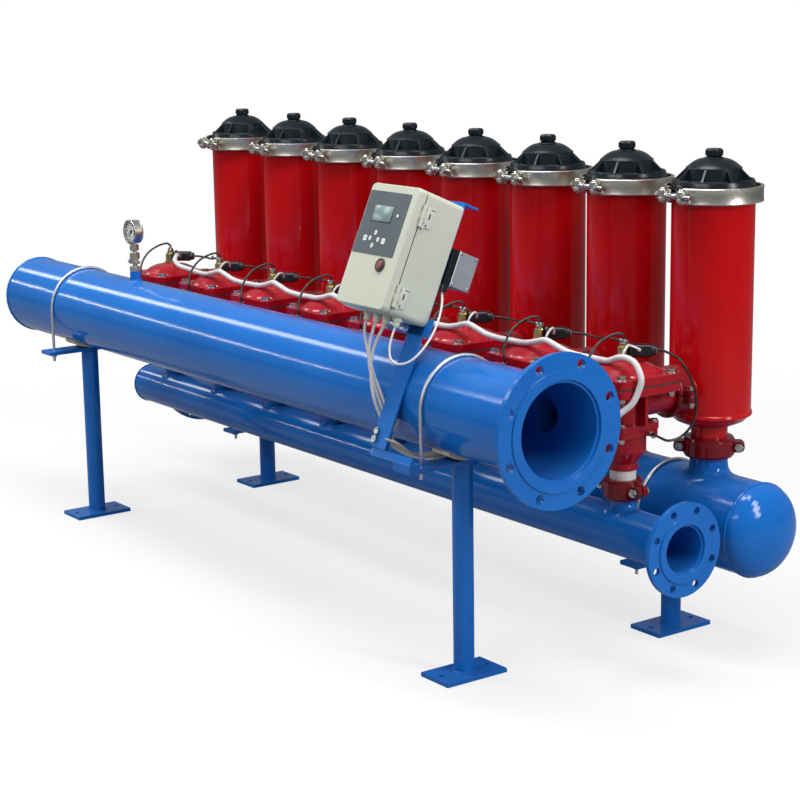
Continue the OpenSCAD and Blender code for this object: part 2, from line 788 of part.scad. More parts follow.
module disc_springs() color(steel) each_unit()
  translate([0, filter_y, spring_low_z + spring_wire / 2 + seat_gap]) {
  per_turn = 10;
  rise = spring_h - spring_wire - 2 * seat_gap;
  tube([for (i = [0 : spring_turns * per_turn]) [
    spring_r * cos(360 * i / per_turn), spring_r * sin(360 * i / per_turn),
    rise * i / (spring_turns * per_turn)
  ]], spring_wire, [0, 0, 1], 5);
}

// Valves

module at_valves() {
  each_unit() translate([0, valve_y, 0]) children();
}

module valve_bodies() color(red) at_valves() difference() {
  port_len = valve_half - pipe_gap / 2;
  union() {
    translate([0, 0, lower_joint_z]) rounded_plate(lower_side, lower_t, 14);
    translate([0, 0, lower_joint_z]) cylinder(r = chamber_r + chamber_wall, h = body_top_z - lower_joint_z);
    translate([0, 0, body_flange_z]) rounded_plate(bonnet_side, bonnet_t, 22);
    for (s = [0, 180]) rotate(s) translate([0, -port_len, port_z]) rotate([-90, 0, 0])
      grooved_end(branch_r, port_len);
    for (a = [0, 180]) rotate(a) translate([chamber_r, -4, lower_joint_z + lower_t])
      cube([chamber_wall + 24, 8, body_flange_z - lower_joint_z - lower_t]);
  }
  translate([0, 0, lower_joint_z - 1]) cylinder(r = chamber_r, h = body_top_z - lower_joint_z + 2);
  translate([-bonnet_side / 2, -bonnet_side / 2 - 2, body_top_z]) cube([bonnet_side, bonnet_side + 4, 20]);
  translate([0, -valve_half, port_z]) rotate([-90, 0, 0])
    cylinder(r = branch_r - branch_wall, h = 2 * valve_half);
  each_corner(bonnet_bolt_half) translate([0, 0, body_flange_z - 1])
    cylinder(d = bonnet_bolt + 2 * bolt_gap, h = bonnet_t + 2);
  each_corner(lower_bolt_half) translate([0, 0, lower_joint_z - 1])
    cylinder(d = lower_bolt + 2 * bolt_gap, h = lower_t + 2);
}

module valve_outlets() color(red) at_valves() difference() {
  tail_r = small_r + 3;
  wide_r = chamber_r + chamber_wall;
  union() {
    translate([0, 0, lower_joint_z - lower_t]) rounded_plate(lower_side - 3, lower_t, 14);
    rotate_extrude() polygon([
      [0, tail_z], [tail_r, tail_z], [tail_r + 2, tail_z + 2], [tail_r + 2, tail_z + 6], [tail_r, tail_z + 9],
      [tail_r, tail_z + 16], [wide_r, tail_z + 44], [wide_r, lower_joint_z], [0, lower_joint_z]
    ]);
  }
  rotate_extrude() polygon([
    [0, tail_z - 1], [small_r + seat_gap, tail_z - 1], [small_r + seat_gap, nipple_top_z],
    [small_r - small_wall, nipple_top_z], [small_r - small_wall, tail_z + 18], [chamber_r, tail_z + 46],
    [chamber_r, lower_joint_z - 10], [seat_r, lower_joint_z - 10], [seat_r, lower_joint_z + 1],
    [0, lower_joint_z + 1]
  ]);
  each_corner(lower_bolt_half) translate([0, 0, lower_joint_z - lower_t - 1])
    cylinder(d = lower_bolt + 2 * bolt_gap, h = lower_t + 2);
}

module valve_bonnets() color(red) at_valves() difference() {
  dome_z = bonnet_flange_top_z;
  union() {
    translate([0, 0, bonnet_low_z]) rounded_plate(bonnet_side, bonnet_t, 22);
    rotate_extrude() polygon([
      [0, dome_z - 1], [84, dome_z - 1], [84, dome_z], [80, dome_z + 4], [66, dome_z + 14], [48, dome_z + 22],
      [26, dome_z + 25], [24, bonnet_top_z], [0, bonnet_top_z]
    ]);
  }
  translate([0, 0, bonnet_low_z - 1]) cylinder(r = piston_bore_r, h = piston_bore_h + 1);
  each_corner(bonnet_bolt_half) translate([0, 0, bonnet_low_z - 1])
    cylinder(d = bonnet_bolt + 2 * bolt_gap, h = bonnet_t + 2);
}

module bonnet_gaskets() color(black) at_valves() translate([0, 0, body_top_z]) difference() {
  rounded_plate(bonnet_side, gasket_t, 22);
  translate([0, 0, -1]) cylinder(r = piston_bore_r + 1, h = gasket_t + 2);
  each_corner(bonnet_bolt_half) translate([0, 0, -1])
    cylinder(d = bonnet_bolt + 2 * bolt_gap, h = gasket_t + 2);
}

module valve_bolts() color(steel) at_valves() {
  each_corner(bonnet_bolt_half) translate([0, 0, body_flange_z])
    hex_bolt(bonnet_bolt, 2 * bonnet_t + gasket_t);
  each_corner(lower_bolt_half) translate([0, 0, lower_joint_z - lower_t]) hex_bolt(lower_bolt, 2 * lower_t);
}

// Moulded plunger: seat plug, rod and piston in one piece
module valve_plunger(i) color(black) translate([unit_x(i), valve_y, lower_joint_z + seat_gap]) {
  plug_r = seat_r + 6;
  piston_low = bonnet_low_z + 1 - lower_joint_z - seat_gap;
  stem_r = 9;
  rotate_extrude() polygon([
    [0, 0], [plug_r, 0], [plug_r, 12], [stem_r, 20], [stem_r, piston_low],
    [piston_bore_r - slide_gap, piston_low],
    [piston_bore_r - slide_gap, piston_low + 12], [0, piston_low + 12]
  ]);
}

module valve_plunger_1() valve_plunger(0);
module valve_plunger_2() valve_plunger(1);
module valve_plunger_3() valve_plunger(2);
module valve_plunger_4() valve_plunger(3);
module valve_plunger_5() valve_plunger(4);
module valve_plunger_6() valve_plunger(5);
module valve_plunger_7() valve_plunger(6);
module valve_plunger_8() valve_plunger(7);

module drain_nipples() color(white) at_valves() translate([0, 0, drain_joint_z + pipe_gap / 2]) difference() {
  nipple_len = nipple_top_z - drain_joint_z - pipe_gap / 2;
  grooved_end(small_r, nipple_len);
  translate([0, 0, -1]) cylinder(r = small_r - small_wall, h = nipple_len + 2);
}

// Grooved couplings, each of two half shells and two bolts

function ear_x(r) = r + coupling_wall + 17;

module coupling_half(r) {
  out_r = r + coupling_wall + 7;
  key_r = r - groove_depth + seat_gap;
  key_z = groove_at + key_slack;
  difference() {
    union() {
      rotate_extrude(angle = 180) polygon([
        [key_r, -coupling_w / 2], [out_r - 4, -coupling_w / 2], [out_r, -coupling_w / 2 + 6],
        [out_r, coupling_w / 2 - 6], [out_r - 4, coupling_w / 2], [key_r, coupling_w / 2], [key_r, key_z],
        [out_r - coupling_wall, key_z], [out_r - coupling_wall, -key_z], [key_r, -key_z]
      ]);
      for (s = [-1, 1]) {
        translate([s * (ear_x(r) - 10) - 11, 0, -ear_r]) cube([22, ear_t + split_gap / 2, 2 * ear_r]);
        along_y(s * ear_x(r), 0, 0) cylinder(r = ear_r, h = ear_t + split_gap / 2);
      }
    }
    translate([-100, -1, -50]) cube([200, 1 + split_gap / 2, 100]);
    for (s = [-1, 1]) along_y(s * ear_x(r), -1, 0) cylinder(d = coupling_bolt + 2 * bolt_gap, h = ear_t + 9);
    cylinder(r = r + seat_gap, h = 2 * key_z, center = true);
  }
}

module coupling(r) {
  coupling_half(r);
  rotate(180) coupling_half(r);
}

module coupling_bolt_pair(r) {
  grip = 2 * ear_t + split_gap;
  for (s = [-1, 1]) along_y(s * ear_x(r), -grip / 2, 0) hex_bolt(coupling_bolt, grip);
}

module at_port_joints() {
  for (s = [-1, 1]) each_unit() translate([0, valve_y + s * valve_half, port_z])
    rotate([90, 0, 0]) children();
}

module at_riser_joints() {
  each_unit() translate([0, filter_y, riser_top_z]) rotate(45) children();
}

module at_drain_joints() {
  each_unit() translate([0, valve_y, drain_joint_z]) children();
}

module branch_couplings() color(red) {
  at_port_joints() coupling(branch_r);
  at_riser_joints() coupling(branch_r);
}

module drain_couplings() color(red) at_drain_joints() coupling(small_r);

module coupling_bolts() color(steel) {
  at_port_joints() coupling_bolt_pair(branch_r);
  at_riser_joints() coupling_bolt_pair(branch_r);
  at_drain_joints() coupling_bolt_pair(small_r);
}

// Solenoids and control tubes

module solenoid_bodies() color(brass) at_valves() translate([0, 0, solenoid_z]) {
  rotate(coil_angle + 22.5) cylinder(d = brass_w / cos(22.5), h = brass_h - 8, $fn = 8);
  cylinder(d = brass_w - 8, h = brass_h);
}

module solenoid_coils() color(black) at_valves() translate([0, 0, coil_z]) rotate(coil_angle) {
  translate([brass_w / 2, -coil_w / 2, -coil_w / 2]) rotate([90, 0, 90])
    linear_extrude(coil_len - 12) rounded_rect(coil_w, coil_w, 6);
  translate([brass_w / 2, 0, 0]) rotate([0, 90, 0]) cylinder(d = coil_w - 8, h = coil_len);
}

port_fitting_y = -107;
loop_end = [66, 18];
loop_z = lower_joint_z - lower_t / 2;
fit_r = tube_d / 2 + 1.5;

module tube_fittings() color(steel) {
  at_valves() translate([0, 0, tee_z]) {
    cylinder(r = 6, h = tee_h);
    translate([-11, 0, fit_r]) rotate([0, 90, 0]) cylinder(r = fit_r, h = 22);
  }
  at_valves() translate([0, port_fitting_y, port_z]) difference() {
    cylinder(r = 7, h = branch_r + 10);
    rotate([90, 0, 0]) cylinder(r = branch_r + seat_gap, h = 40, center = true);
  }
  translate([last_x + lower_side / 2 - 1.5, valve_y + loop_end[1], loop_z]) rotate([0, 90, 0])
    cylinder(r = 6, h = loop_end[0] - lower_side / 2 + 7.5);
}

tube_z = tee_z + fit_r;
coil_dir = [cos(coil_angle), sin(coil_angle)];
function coil_out(d) = (brass_w / 2 + coil_len + d) * coil_dir;

// Control tubes: coil to next solenoid, solenoid to port, and the loop at the last valve
module control_tubes() color(black) {
  edge = bonnet_side / 2;
  a = coil_out(seat_gap);
  b = coil_out(14);
  drop_top = tee_z + tee_h;
  port_top = port_z + branch_r + 10;
  for (i = [0 : units - 2]) translate([unit_x(i), valve_y, 0]) tube([
    [a[0], a[1], coil_z], [b[0], b[1], coil_z], [b[0] + 30, b[1] + 4, coil_z],
    [unit_pitch * 0.6, 44, coil_z + 5],
    [unit_pitch - 66, 14, tube_z], [unit_pitch - 36, 0, tube_z], [unit_pitch - 11 - seat_gap, 0, tube_z]
  ], tube_d, [0, 0, 1]);
  at_valves() tube([
    [0, 0, drop_top + seat_gap], [0, 0, drop_top + 6], [-4, -10, drop_top + 14], [-11, -34, drop_top + 9],
    [-17, -62, drop_top - 6], [-16, -86, drop_top - 30], [-7, -102, drop_top - 56],
    [0, port_fitting_y, port_top + 15], [0, port_fitting_y, port_top + seat_gap]
  ], tube_d, [1, 0, 0]);
  translate([last_x, valve_y, 0]) tube([
    [a[0], a[1], coil_z], [b[0], b[1], coil_z], [edge - 6, 78, coil_z - 14], [edge + 6, 92, coil_z - 38],
    [edge + 15, 106, coil_z - 72], [edge + 17, 115, coil_z - 103], [edge + 15, 117, coil_z - 135],
    [edge + 11, 106, lower_joint_z + 4], [edge + 3, 84, lower_joint_z - 18],
    [edge - 4, 54, lower_joint_z - 24],
    [edge - 8, loop_end[1] + 14, loop_z - 8], [loop_end[0] + 18, loop_end[1], loop_z],
    [loop_end[0] + 6 + seat_gap, loop_end[1], loop_z]
  ], tube_d, [0, 0.2, 1]);
}

// White trunk that carries the coil leads, lying over the bonnets
trunk_y = -lower_bolt_half;
trunk_rest = bonnet_top_z + 1.6;
trunk_waves = [[0, 0], [40, 8], [76, 17], [112, 10], [150, 1], [200, -2], [246, -1]];
trunk_route = concat(
  [[first_x + 46, -5, coil_z + 7], [first_x + 86, -35, coil_z - 1], [first_x + 136, trunk_y, coil_z - 11],
   [first_x + 196, trunk_y, coil_z - 15], [first_x + 246, trunk_y, trunk_rest]],
  [for (i = [1 : units - 2]) each [for (p = trunk_waves) [unit_x(i) + p[0], trunk_y, trunk_rest + p[1]]]],
  [for (p = [[0, 0], [30, 11], [46, 14], [62, 15], [86, 9]]) [last_x + p[0], trunk_y, trunk_rest + p[1]]],
  [for (p = [[102, -8.6, trunk_y], [110, -28.6, -49], [106, -52.6, -54], [100, -78.6, -66], [87, -96.6, -84]])
    [last_x + p[0], p[2], trunk_rest + p[1]]],
  [for (p = [[239, 186, -31], [223, 148, -53], [201, 106, -71], [171, 72, -81], [135, 55, -85],
      [95, 50.5, -85.5], [55, 50.5, -85.5], [15, 50.5, -85.5], [-21, 50.5, -85.5], [-47, 48, -88],
      [-63, 40, -98], [-73, 22, -112], [-79, -6, -122], [-81, -40, -125.5], [-84, -75, -123],
      [-87, -108, -114], [-90, -135, -99], [-92, -150.5, -86.6], [-93, -157.4, -72.2],
      [-93, -156.8, -58.3], [-93, -152.4, -47.1]])
    [front_right_x + p[0], inlet_y - valve_y + 30 + p[1], inlet_z + p[2]]]
);
splice_x = front_right_x - 102;
splice_low = lug_high + 1;
splice_h = 50;
splice_w = 18;
splice_d = 11.5;
splice_foot_h = 30;
splice_foot_d = 24;

module wiring_trunk() color(white) {
  translate([0, valve_y, 0]) tube(trunk_route, trunk_d, [0, 1, 0.1], 10);
  leaning() translate([splice_x, strap_back + seat_gap, splice_low]) {
    cube([splice_w, splice_d, splice_h]);
    cube([splice_w, splice_foot_d, splice_foot_h]);
  }
}

// Each lead leaves the trunk square to it and meets the side of its coil square on
function lead_start(i) = i == 0 ? [[45.8, -4.8, coil_z + 7], [39.7, -0.2, coil_z + 8]]
  : let (x = i == units - 1 ? 46 : 76, z = trunk_rest + (i == units - 1 ? 14 : 17))
    [[x, trunk_y + 3.7, z + 6.5], [x, trunk_y + 7.7, z + 13.4]];
function coil_side(d) = (brass_w / 2 + coil_len / 3) * coil_dir
  + (coil_w / 2 + d) * [sin(coil_angle), -cos(coil_angle)];

module solenoid_leads() color(white) for (i = [0 : units - 1]) translate([unit_x(i), valve_y, 0]) {
  a = coil_side(9);
  b = coil_side(seat_gap);
  tube(concat(lead_start(i), [[a[0], a[1], coil_z + 1], [b[0], b[1], coil_z]]), lead_d, [0.3, 0.3, 1]);
}

// Cables under the controller, in its leaning frame and from its left side
cable_top = box_rise - gland_h + 2;
splice_u = splice_x - box_x - 1;
controller_routes = [
  [[50, gland_y, cable_top], [51, -178, 97], [58, -169, 72], [69, -155, 41], [84, -141, 9], [96, -128, -14],
   [104, -115, -32], [111, -105.5, -46], [120, -103.8, -55], [130, -103.7, -60], [splice_u, -103.7, -62]],
  [[86, gland_y, cable_top], [84, -179, 96], [80, -173, 66], [83, -163, 33], [90, -150, 4], [98, -136, -21],
   [104, -119, -43], [111, -105.3, -61], [120, -103.8, -70], [130, -103.7, -75], [splice_u, -103.7, -77]],
  [[121, gland_y, cable_top], [119, -184, 96], [111, -182, 66], [104, -173, 35], [101, -159, 4],
   [102, -145, -25], [105, -126, -53], [111, -106, -76], [120, -103.9, -85], [130, -103.7, -90],
   [splice_u, -103.7, -92]]
];
switch_route = [
  [160, gland_y, cable_top], [160, -181, 97], [163, -180, 70], [176, -177, 47], [200, -171, 40],
  [222, -160, 53], [234, -147, 84], [231, -130, 128], [213, -114, 172], [192, -103.5, 204],
  [179, -100.8, 222], [179, -100.8, 234]
];

module controller_cables() color(white) leaning() translate([box_x, 0, 0])
  for (r = controller_routes) tube(r, cable_d, [0, 1, 0]);

module switch_cable() color(white) leaning() translate([box_x, 0, 0])
  tube(switch_route, switch_cable_d, [0, 1, 0.2]);

// Gauge on the inlet pipe, its dial towards the front

module gauge_case() color(steel) translate([gauge_x, inlet_y, gauge_z]) rotate([90, 0, 0]) difference() {
  rotate_extrude($fn = 72) polygon([
    [0, -gauge_d / 2], [gauge_r - 6, -gauge_d / 2], [gauge_r - 2, -gauge_d / 2 + 4],
    [gauge_r - 2, gauge_d / 2 - 7],
    [gauge_r, gauge_d / 2 - 6], [gauge_r, gauge_d / 2 - 1], [gauge_r - 2, gauge_d / 2], [0, gauge_d / 2]
  ]);
  translate([0, 0, -gauge_d / 2 + gauge_wall]) cylinder(r = gauge_r - 2 - gauge_wall, h = gauge_d);
}

module gauge_dial() color("white") along_y(gauge_x, dial_y, gauge_z)
  cylinder(r = gauge_r - 2 - gauge_wall - seat_gap, h = inlet_y + gauge_d / 2 - gauge_wall - dial_y);

module gauge_pointer() color(black) translate([gauge_x, dial_y - pointer_gap, gauge_z]) rotate([90, 0, 0])
  rotate(225) {
    cylinder(r = 3.5, h = 1.5);
    cylinder(r = 1.5, h = 2 * pointer_gap - slide_gap, center = true);
    linear_extrude(0.8) polygon([[-9, -1.6], [-9, 1.6], [gauge_r - 12, 0.5], [gauge_r - 12, -0.5]]);
  }

module gauge_lens() color([0.85, 0.9, 0.92]) along_y(gauge_x, inlet_y - gauge_d / 2 + 1, gauge_z)
  cylinder(r = gauge_r - 2 - gauge_wall - slide_gap, h = lens_t);

module gauge_fittings() color(steel) translate([gauge_x, inlet_y, 0]) difference() {
  run = stem_low_z - socket_top_z;
  union() {
    translate([0, 0, socket_top_z - 12]) cylinder(r = 7 - slide_gap, h = run + 12);
    translate([0, 0, socket_top_z]) hex_nut(26, 12);
    translate([0, 0, socket_top_z + 0.26 * run]) cylinder(r = 11, h = 0.12 * run);
    translate([0, 0, socket_top_z + 0.42 * run]) hex_nut(24, 0.22 * run);
    translate([0, 0, socket_top_z + 0.72 * run]) hex_nut(22, 0.2 * run);
    along_x(-22, 0, socket_top_z + 0.32 * run) cylinder(r = 5, h = 44);
    along_x(-26, 0, socket_top_z + 0.32 * run) cylinder(r = 8, h = 8);
  }
  translate([0, 0, gauge_z]) rotate([90, 0, 0]) cylinder(r = gauge_r - 2 + slide_gap, h = 40, center = true);
}

// Controller on its strap

module leaning() {
  translate([0, inlet_y, inlet_z]) rotate([-lean, 0, 0]) children();
}

module strap_bolt_places() {
  for (z = [strap_low + 17, strap_low + 35])
    translate([strap_x + 10, strap_back, z]) rotate([90, 0, 0]) children();
}

module controller_strap() color(blue) leaning() difference() {
  union() {
    translate([strap_x, strap_front, strap_low]) cube([strap_w, strap_t, strap_high - strap_low]);
    translate([strap_x, strap_front, strap_high - strap_t]) cube([strap_w, strap_lip, strap_t]);
  }
  strap_bolt_places() cylinder(r = lower_bolt / 2 + bolt_gap, h = 40, center = true);
}

module strap_bolts() color(steel) leaning() strap_bolt_places()
  translate([0, 0, -lug_t]) hex_bolt(lower_bolt, strap_t + lug_t);

// Rounded block in the leaning frame, between two depths
module case_block(u0, v0, w, h, r, y0, y1) {
  translate([box_x + u0, y1, box_rise + v0]) rotate([90, 0, 0]) linear_extrude(y1 - y0) rounded_rect(w, h, r);
}

// Hinge knuckle of one length, at height v, with the web towards dir
module knuckle(v, len, dir) {
  translate([hinge_x, hinge_y, box_rise + v]) difference() {
    union() {
      cylinder(r = hinge_r, h = len, $fn = 32);
      translate([-hinge_r - 0.5, dir > 0 ? 0.5 : -hinge_r, 0]) cube([hinge_r + 0.5, hinge_r - 0.5, len]);
    }
    translate([0, 0, -1]) cylinder(r = hinge_pin_r + slide_gap, h = len + 2, $fn = 32);
  }
}

module controller_box() color(beige) leaning() {
  board_posts = [[30, 60], [150, 60], [30, 210], [150, 210]];
  difference() {
    case_block(0, 0, box_w, box_h, box_r, box_front, strap_front);
    case_block(box_wall, box_wall, box_w - 2 * box_wall, box_h - 2 * box_wall, box_r - box_wall,
      box_front - 1, strap_front - box_wall);
    for (u = gland_u) translate([box_x + u, gland_y, box_rise - 1]) cylinder(r = 6, h = box_wall + 2);
  }
  for (p = board_posts) translate([box_x + p[0], strap_front - box_wall - 30, box_rise + p[1]])
    rotate([-90, 0, 0])
    cylinder(r = 5, h = 31);
  translate([box_x + 20, strap_front - box_wall - 32, box_rise + 50]) cube([140, 2, 170]);
  for (v = hinge_at, k = [-1, 1]) knuckle(v - hinge_seg / 2 + k * (hinge_seg + seat_gap), hinge_seg, 1);
}

module controller_lid() color(beige) leaning() {
  bevel = 4;
  difference() {
    union() {
      case_block(0, 0, box_w, box_h, box_r, lid_front + bevel, lid_back);
      case_block(bevel / 2, bevel / 2, box_w - bevel, box_h - bevel, box_r - bevel / 2, lid_front, lid_back);
    }
    case_block(box_wall + 1, box_wall + 1, box_w - 2 * box_wall - 2, box_h - 2 * box_wall - 2,
      box_r - box_wall,
      lid_front + box_wall + 1, lid_back + 1);
    translate([box_x + button_u, lid_front + 12, box_rise + button_v]) rotate([90, 0, 0])
      cylinder(r = button_r + seat_gap, h = 30);
  }
  translate([box_x + button_u, lid_front, box_rise + button_v]) rotate([90, 0, 0]) difference() {
    cylinder(r = button_r + 5, h = 3);
    translate([0, 0, -1]) cylinder(r = button_r + seat_gap, h = 5);
  }
  for (v = hinge_at) knuckle(v - hinge_seg / 2, hinge_seg, -1);
}

module lid_hinge_pins() color(steel) leaning() for (v = hinge_at)
  translate([hinge_x, hinge_y, box_rise + v - 1.5 * hinge_seg - seat_gap])
    cylinder(r = hinge_pin_r, h = 3 * hinge_seg + 2 * seat_gap, $fn = 32);

module keypad_panel() color([0.35, 0.39, 0.41]) leaning()
  case_block(panel_u, panel_v, panel_w, panel_h, 3, lid_front - panel_t, lid_front);

// The button's inner flange keeps it in the lid
module push_button() color(red) leaning()
  translate([box_x + button_u, lid_front, box_rise + button_v]) rotate([90, 0, 0]) {
    inner = box_wall + 1 + seat_gap;
    rotate_extrude() polygon([
      [0, -inner - 3], [button_r + 2, -inner - 3], [button_r + 2, -inner], [button_r, -inner],
      [button_r, button_proud - 1.5], [button_r - 1.5, button_proud], [0, button_proud]
    ]);
  }

module cable_glands() color(beige) leaning() for (u = gland_u)
  translate([box_x + u, gland_y, box_rise]) difference() {
    hole_r = (u == gland_u[3] ? switch_cable_d : cable_d) / 2 + seat_gap;
    union() {
      translate([0, 0, -gland_h]) cylinder(r = gland_r - 1, h = gland_h);
      translate([0, 0, -8]) hex_nut(2 * gland_r + 2, 8);
      cylinder(r = 6 - slide_gap, h = box_wall + 6);
      translate([0, 0, box_wall]) hex_nut(2 * gland_r, 4);
    }
    translate([0, 0, -gland_h - 1]) cylinder(r = hole_r, h = gland_h);
  }

module switch_base() color(black) leaning() {
  translate([switch_x, strap_back, switch_low]) cube([switch_w, switch_base_t, switch_h]);
  translate([switch_x + switch_w - 8, strap_back + 9, switch_low - 18]) difference() {
    cylinder(r = 8, h = 19);
    translate([0, 0, -1]) cylinder(r = switch_cable_d / 2 + seat_gap, h = 17);
  }
}

module switch_cover() color([0.55, 0.57, 0.6]) leaning()
  translate([switch_x, strap_back + switch_base_t, switch_low]) cube([switch_w, switch_cover_d, switch_h]);

inlet_manifold();
outlet_manifold();
drain_manifold();
front_leg_left();
front_leg_right();
rear_leg_left();
rear_leg_right();
saddle_pads();
u_bolts();
u_bolt_nuts();
filter_housings();
filter_covers();
vent_caps();
cover_seals();
clamp_bands();
clamp_bolts();
disc_spines();
disc_stacks();
disc_pistons();
disc_springs();
valve_bodies();
valve_outlets();
valve_bonnets();
bonnet_gaskets();
valve_bolts();
valve_plunger_1();
valve_plunger_2();
valve_plunger_3();
valve_plunger_4();
valve_plunger_5();
valve_plunger_6();
valve_plunger_7();
valve_plunger_8();
drain_nipples();
branch_couplings();
drain_couplings();
coupling_bolts();
solenoid_bodies();
solenoid_coils();
tube_fittings();
control_tubes();
wiring_trunk();
solenoid_leads();
controller_cables();
switch_cable();
gauge_case();
gauge_dial();
gauge_pointer();
gauge_lens();
gauge_fittings();
controller_strap();
strap_bolts();
controller_box();
controller_lid();
lid_hinge_pins();
keypad_panel();
push_button();
cable_glands();
switch_base();
switch_cover();
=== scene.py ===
import math

import bmesh
import bpy
from mathutils import Matrix, Vector


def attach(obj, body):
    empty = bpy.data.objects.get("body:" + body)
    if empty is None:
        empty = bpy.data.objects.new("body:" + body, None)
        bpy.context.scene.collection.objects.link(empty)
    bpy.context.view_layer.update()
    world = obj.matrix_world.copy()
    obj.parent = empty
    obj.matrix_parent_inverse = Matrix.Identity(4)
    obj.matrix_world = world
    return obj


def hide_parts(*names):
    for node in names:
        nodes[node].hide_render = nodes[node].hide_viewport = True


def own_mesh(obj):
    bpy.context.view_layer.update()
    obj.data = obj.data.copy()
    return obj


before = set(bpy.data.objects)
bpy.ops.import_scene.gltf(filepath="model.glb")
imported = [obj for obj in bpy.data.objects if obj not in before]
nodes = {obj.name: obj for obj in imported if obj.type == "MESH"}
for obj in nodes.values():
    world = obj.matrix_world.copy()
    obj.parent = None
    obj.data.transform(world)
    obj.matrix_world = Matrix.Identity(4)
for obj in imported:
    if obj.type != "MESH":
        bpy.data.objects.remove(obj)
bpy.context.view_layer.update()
scene = bpy.context.scene
scene.view_settings.view_transform = "Standard"
print("frame loaded:", len(nodes), "nodes")

# where things sit, in metres and degrees, as in the CAD
layout = {
    "units": 8, "firstX": -0.976, "pitch": 0.290,
    "inletY": -0.300, "valveY": 0.030, "filterY": 0.300,
    "inletZ": 0.625, "outletZ": 0.304, "drainZ": 0.316, "portZ": 0.620,
    "mainR": 0.1095, "drainR": 0.057, "branchR": 0.0445, "smallR": 0.030,
    "lean": 23.5, "boxX": 0.647, "gaugeX": -0.592,
}
unitXs = [layout["firstX"] + i * layout["pitch"] for i in range(layout["units"])]


def turned(degrees, axis):
    return Matrix.Rotation(math.radians(degrees), 4, axis)


# frame of the controller, which leans back round the inlet pipe
leaning = Matrix.Translation((0, layout["inletY"], layout["inletZ"])) @ turned(-layout["lean"], "X")

# camera at the photo's angle
photoCamera = {
    "place": (4.249, -2.902, 1.553),
    "right": (0.58917, 0.80787, -0.01506),
    "up": (-0.16114, 0.13574, 0.97756),
    "lens": 88.6, "sensor": 36.0, "clipEnd": 400,
}


def makeCamera(spec):
    data = bpy.data.cameras.new("photoCamera")
    data.lens = spec["lens"]
    data.sensor_width = spec["sensor"]
    data.clip_end = spec["clipEnd"]
    camera = bpy.data.objects.new("photoCamera", data)
    scene.collection.objects.link(camera)
    right = Vector(spec["right"]).normalized()
    back = right.cross(Vector(spec["up"])).normalized()
    up = back.cross(right)
    camera.matrix_world = (Matrix.Translation(spec["place"])
                           @ Matrix((right, up, back)).transposed().to_4x4())
    scene.camera = camera


makeCamera(photoCamera)


# mesh helpers
def joinRows(build, rows, closed):
    pairs = list(zip(rows, rows[1:]))
    if closed:
        pairs.append((rows[-1], rows[0]))
    for a, b in pairs:
        for j in range(len(a) - 1):
            build.faces.new((a[j], b[j], b[j + 1], a[j + 1]))


def addLathe(build, profile, steps, place, start=0.0, turn=math.tau):
    closed = turn == math.tau
    rows = []
    for k in range(steps if closed else steps + 1):
        angle = start + turn * k / steps
        c, s = math.cos(angle), math.sin(angle)
        rows.append([build.verts.new(place @ Vector((r * c, r * s, z))) for r, z in profile])
    joinRows(build, rows, closed)


def mirrored(half):
    return [(r, -z) for r, z in reversed(half)] + half


def addSweep(build, path, radius, sides, closed=False):
    points = [Vector(p) for p in path]
    count = len(points)
    side = None
    rings = []
    for i, point in enumerate(points):
        before = points[i - 1] if (i or closed) else point
        after = points[(i + 1) % count] if (i < count - 1 or closed) else point
        tangent = (after - before).normalized()
        if side is None:
            helper = Vector((0, 0, 1)) if abs(tangent.z) < 0.9 else Vector((1, 0, 0))
            side = tangent.cross(helper).normalized()
        else:
            side = (side - tangent * side.dot(tangent)).normalized()
        other = tangent.cross(side)
        r = radius[i] if isinstance(radius, list) else radius
        turns = [math.tau * k / sides for k in range(sides)]
        rings.append([build.verts.new(point + r * (math.cos(a) * side + math.sin(a) * other))
                      for a in turns])
    for i in range(count if closed else count - 1):
        a, b = rings[i], rings[(i + 1) % count]
        for k in range(sides):
            build.faces.new((a[k], a[(k + 1) % sides], b[(k + 1) % sides], b[k]))
    if not closed:
        build.faces.new(list(reversed(rings[0])))
        build.faces.new(rings[-1])


def addRing(build, centre, axis, ringR, beadR, turns, sides=6, ripple=0.0):
    path, radii = [], []
    for k in range(turns):
        a = math.tau * k / turns
        c, s = ringR * math.cos(a), ringR * math.sin(a)
        shift = {"x": (0, c, s), "y": (c, 0, s), "z": (c, s, 0)}[axis]
        path.append(Vector(centre) + Vector(shift))
        # two waves out of step give the uneven bead of a weld
        radii.append(beadR * (1 + ripple * (math.sin(37 * a) + 0.6 * math.sin(23 * a + 1.3))))
    addSweep(build, path, radii, sides, closed=True)


def addBlock(build, low, high, bevel, place):
    low, high = Vector(low), Vector(high)
    stretch = Matrix.Translation((low + high) / 2) @ Matrix.Diagonal((*(high - low), 1))
    verts = bmesh.ops.create_cube(build, size=1.0, matrix=stretch)["verts"]
    if bevel:
        edges = list({e for v in verts for e in v.link_edges})
        done = bmesh.ops.bevel(build, geom=edges, offset=bevel, segments=2, profile=0.6, affect="EDGES")
        near = {v for f in done["faces"] for v in f.verts} | {v for v in verts if v.is_valid}
        verts = list(near | {w for v in near for f in v.link_faces for w in f.verts})
    bmesh.ops.transform(build, matrix=place, verts=verts)


def addPrism(build, outline, z0, z1, place):
    low = [build.verts.new(place @ Vector((x, y, z0))) for x, y in outline]
    high = [build.verts.new(place @ Vector((x, y, z1))) for x, y in outline]
    count = len(outline)
    build.faces.new(list(reversed(low)))
    build.faces.new(high)
    for k in range(count):
        build.faces.new((low[k], low[(k + 1) % count], high[(k + 1) % count], high[k]))


def addHex(build, r, z0, z1, place):
    corners = [math.tau * k / 6 for k in range(6)]
    addPrism(build, [(r * math.cos(a), r * math.sin(a)) for a in corners], z0, z1, place)


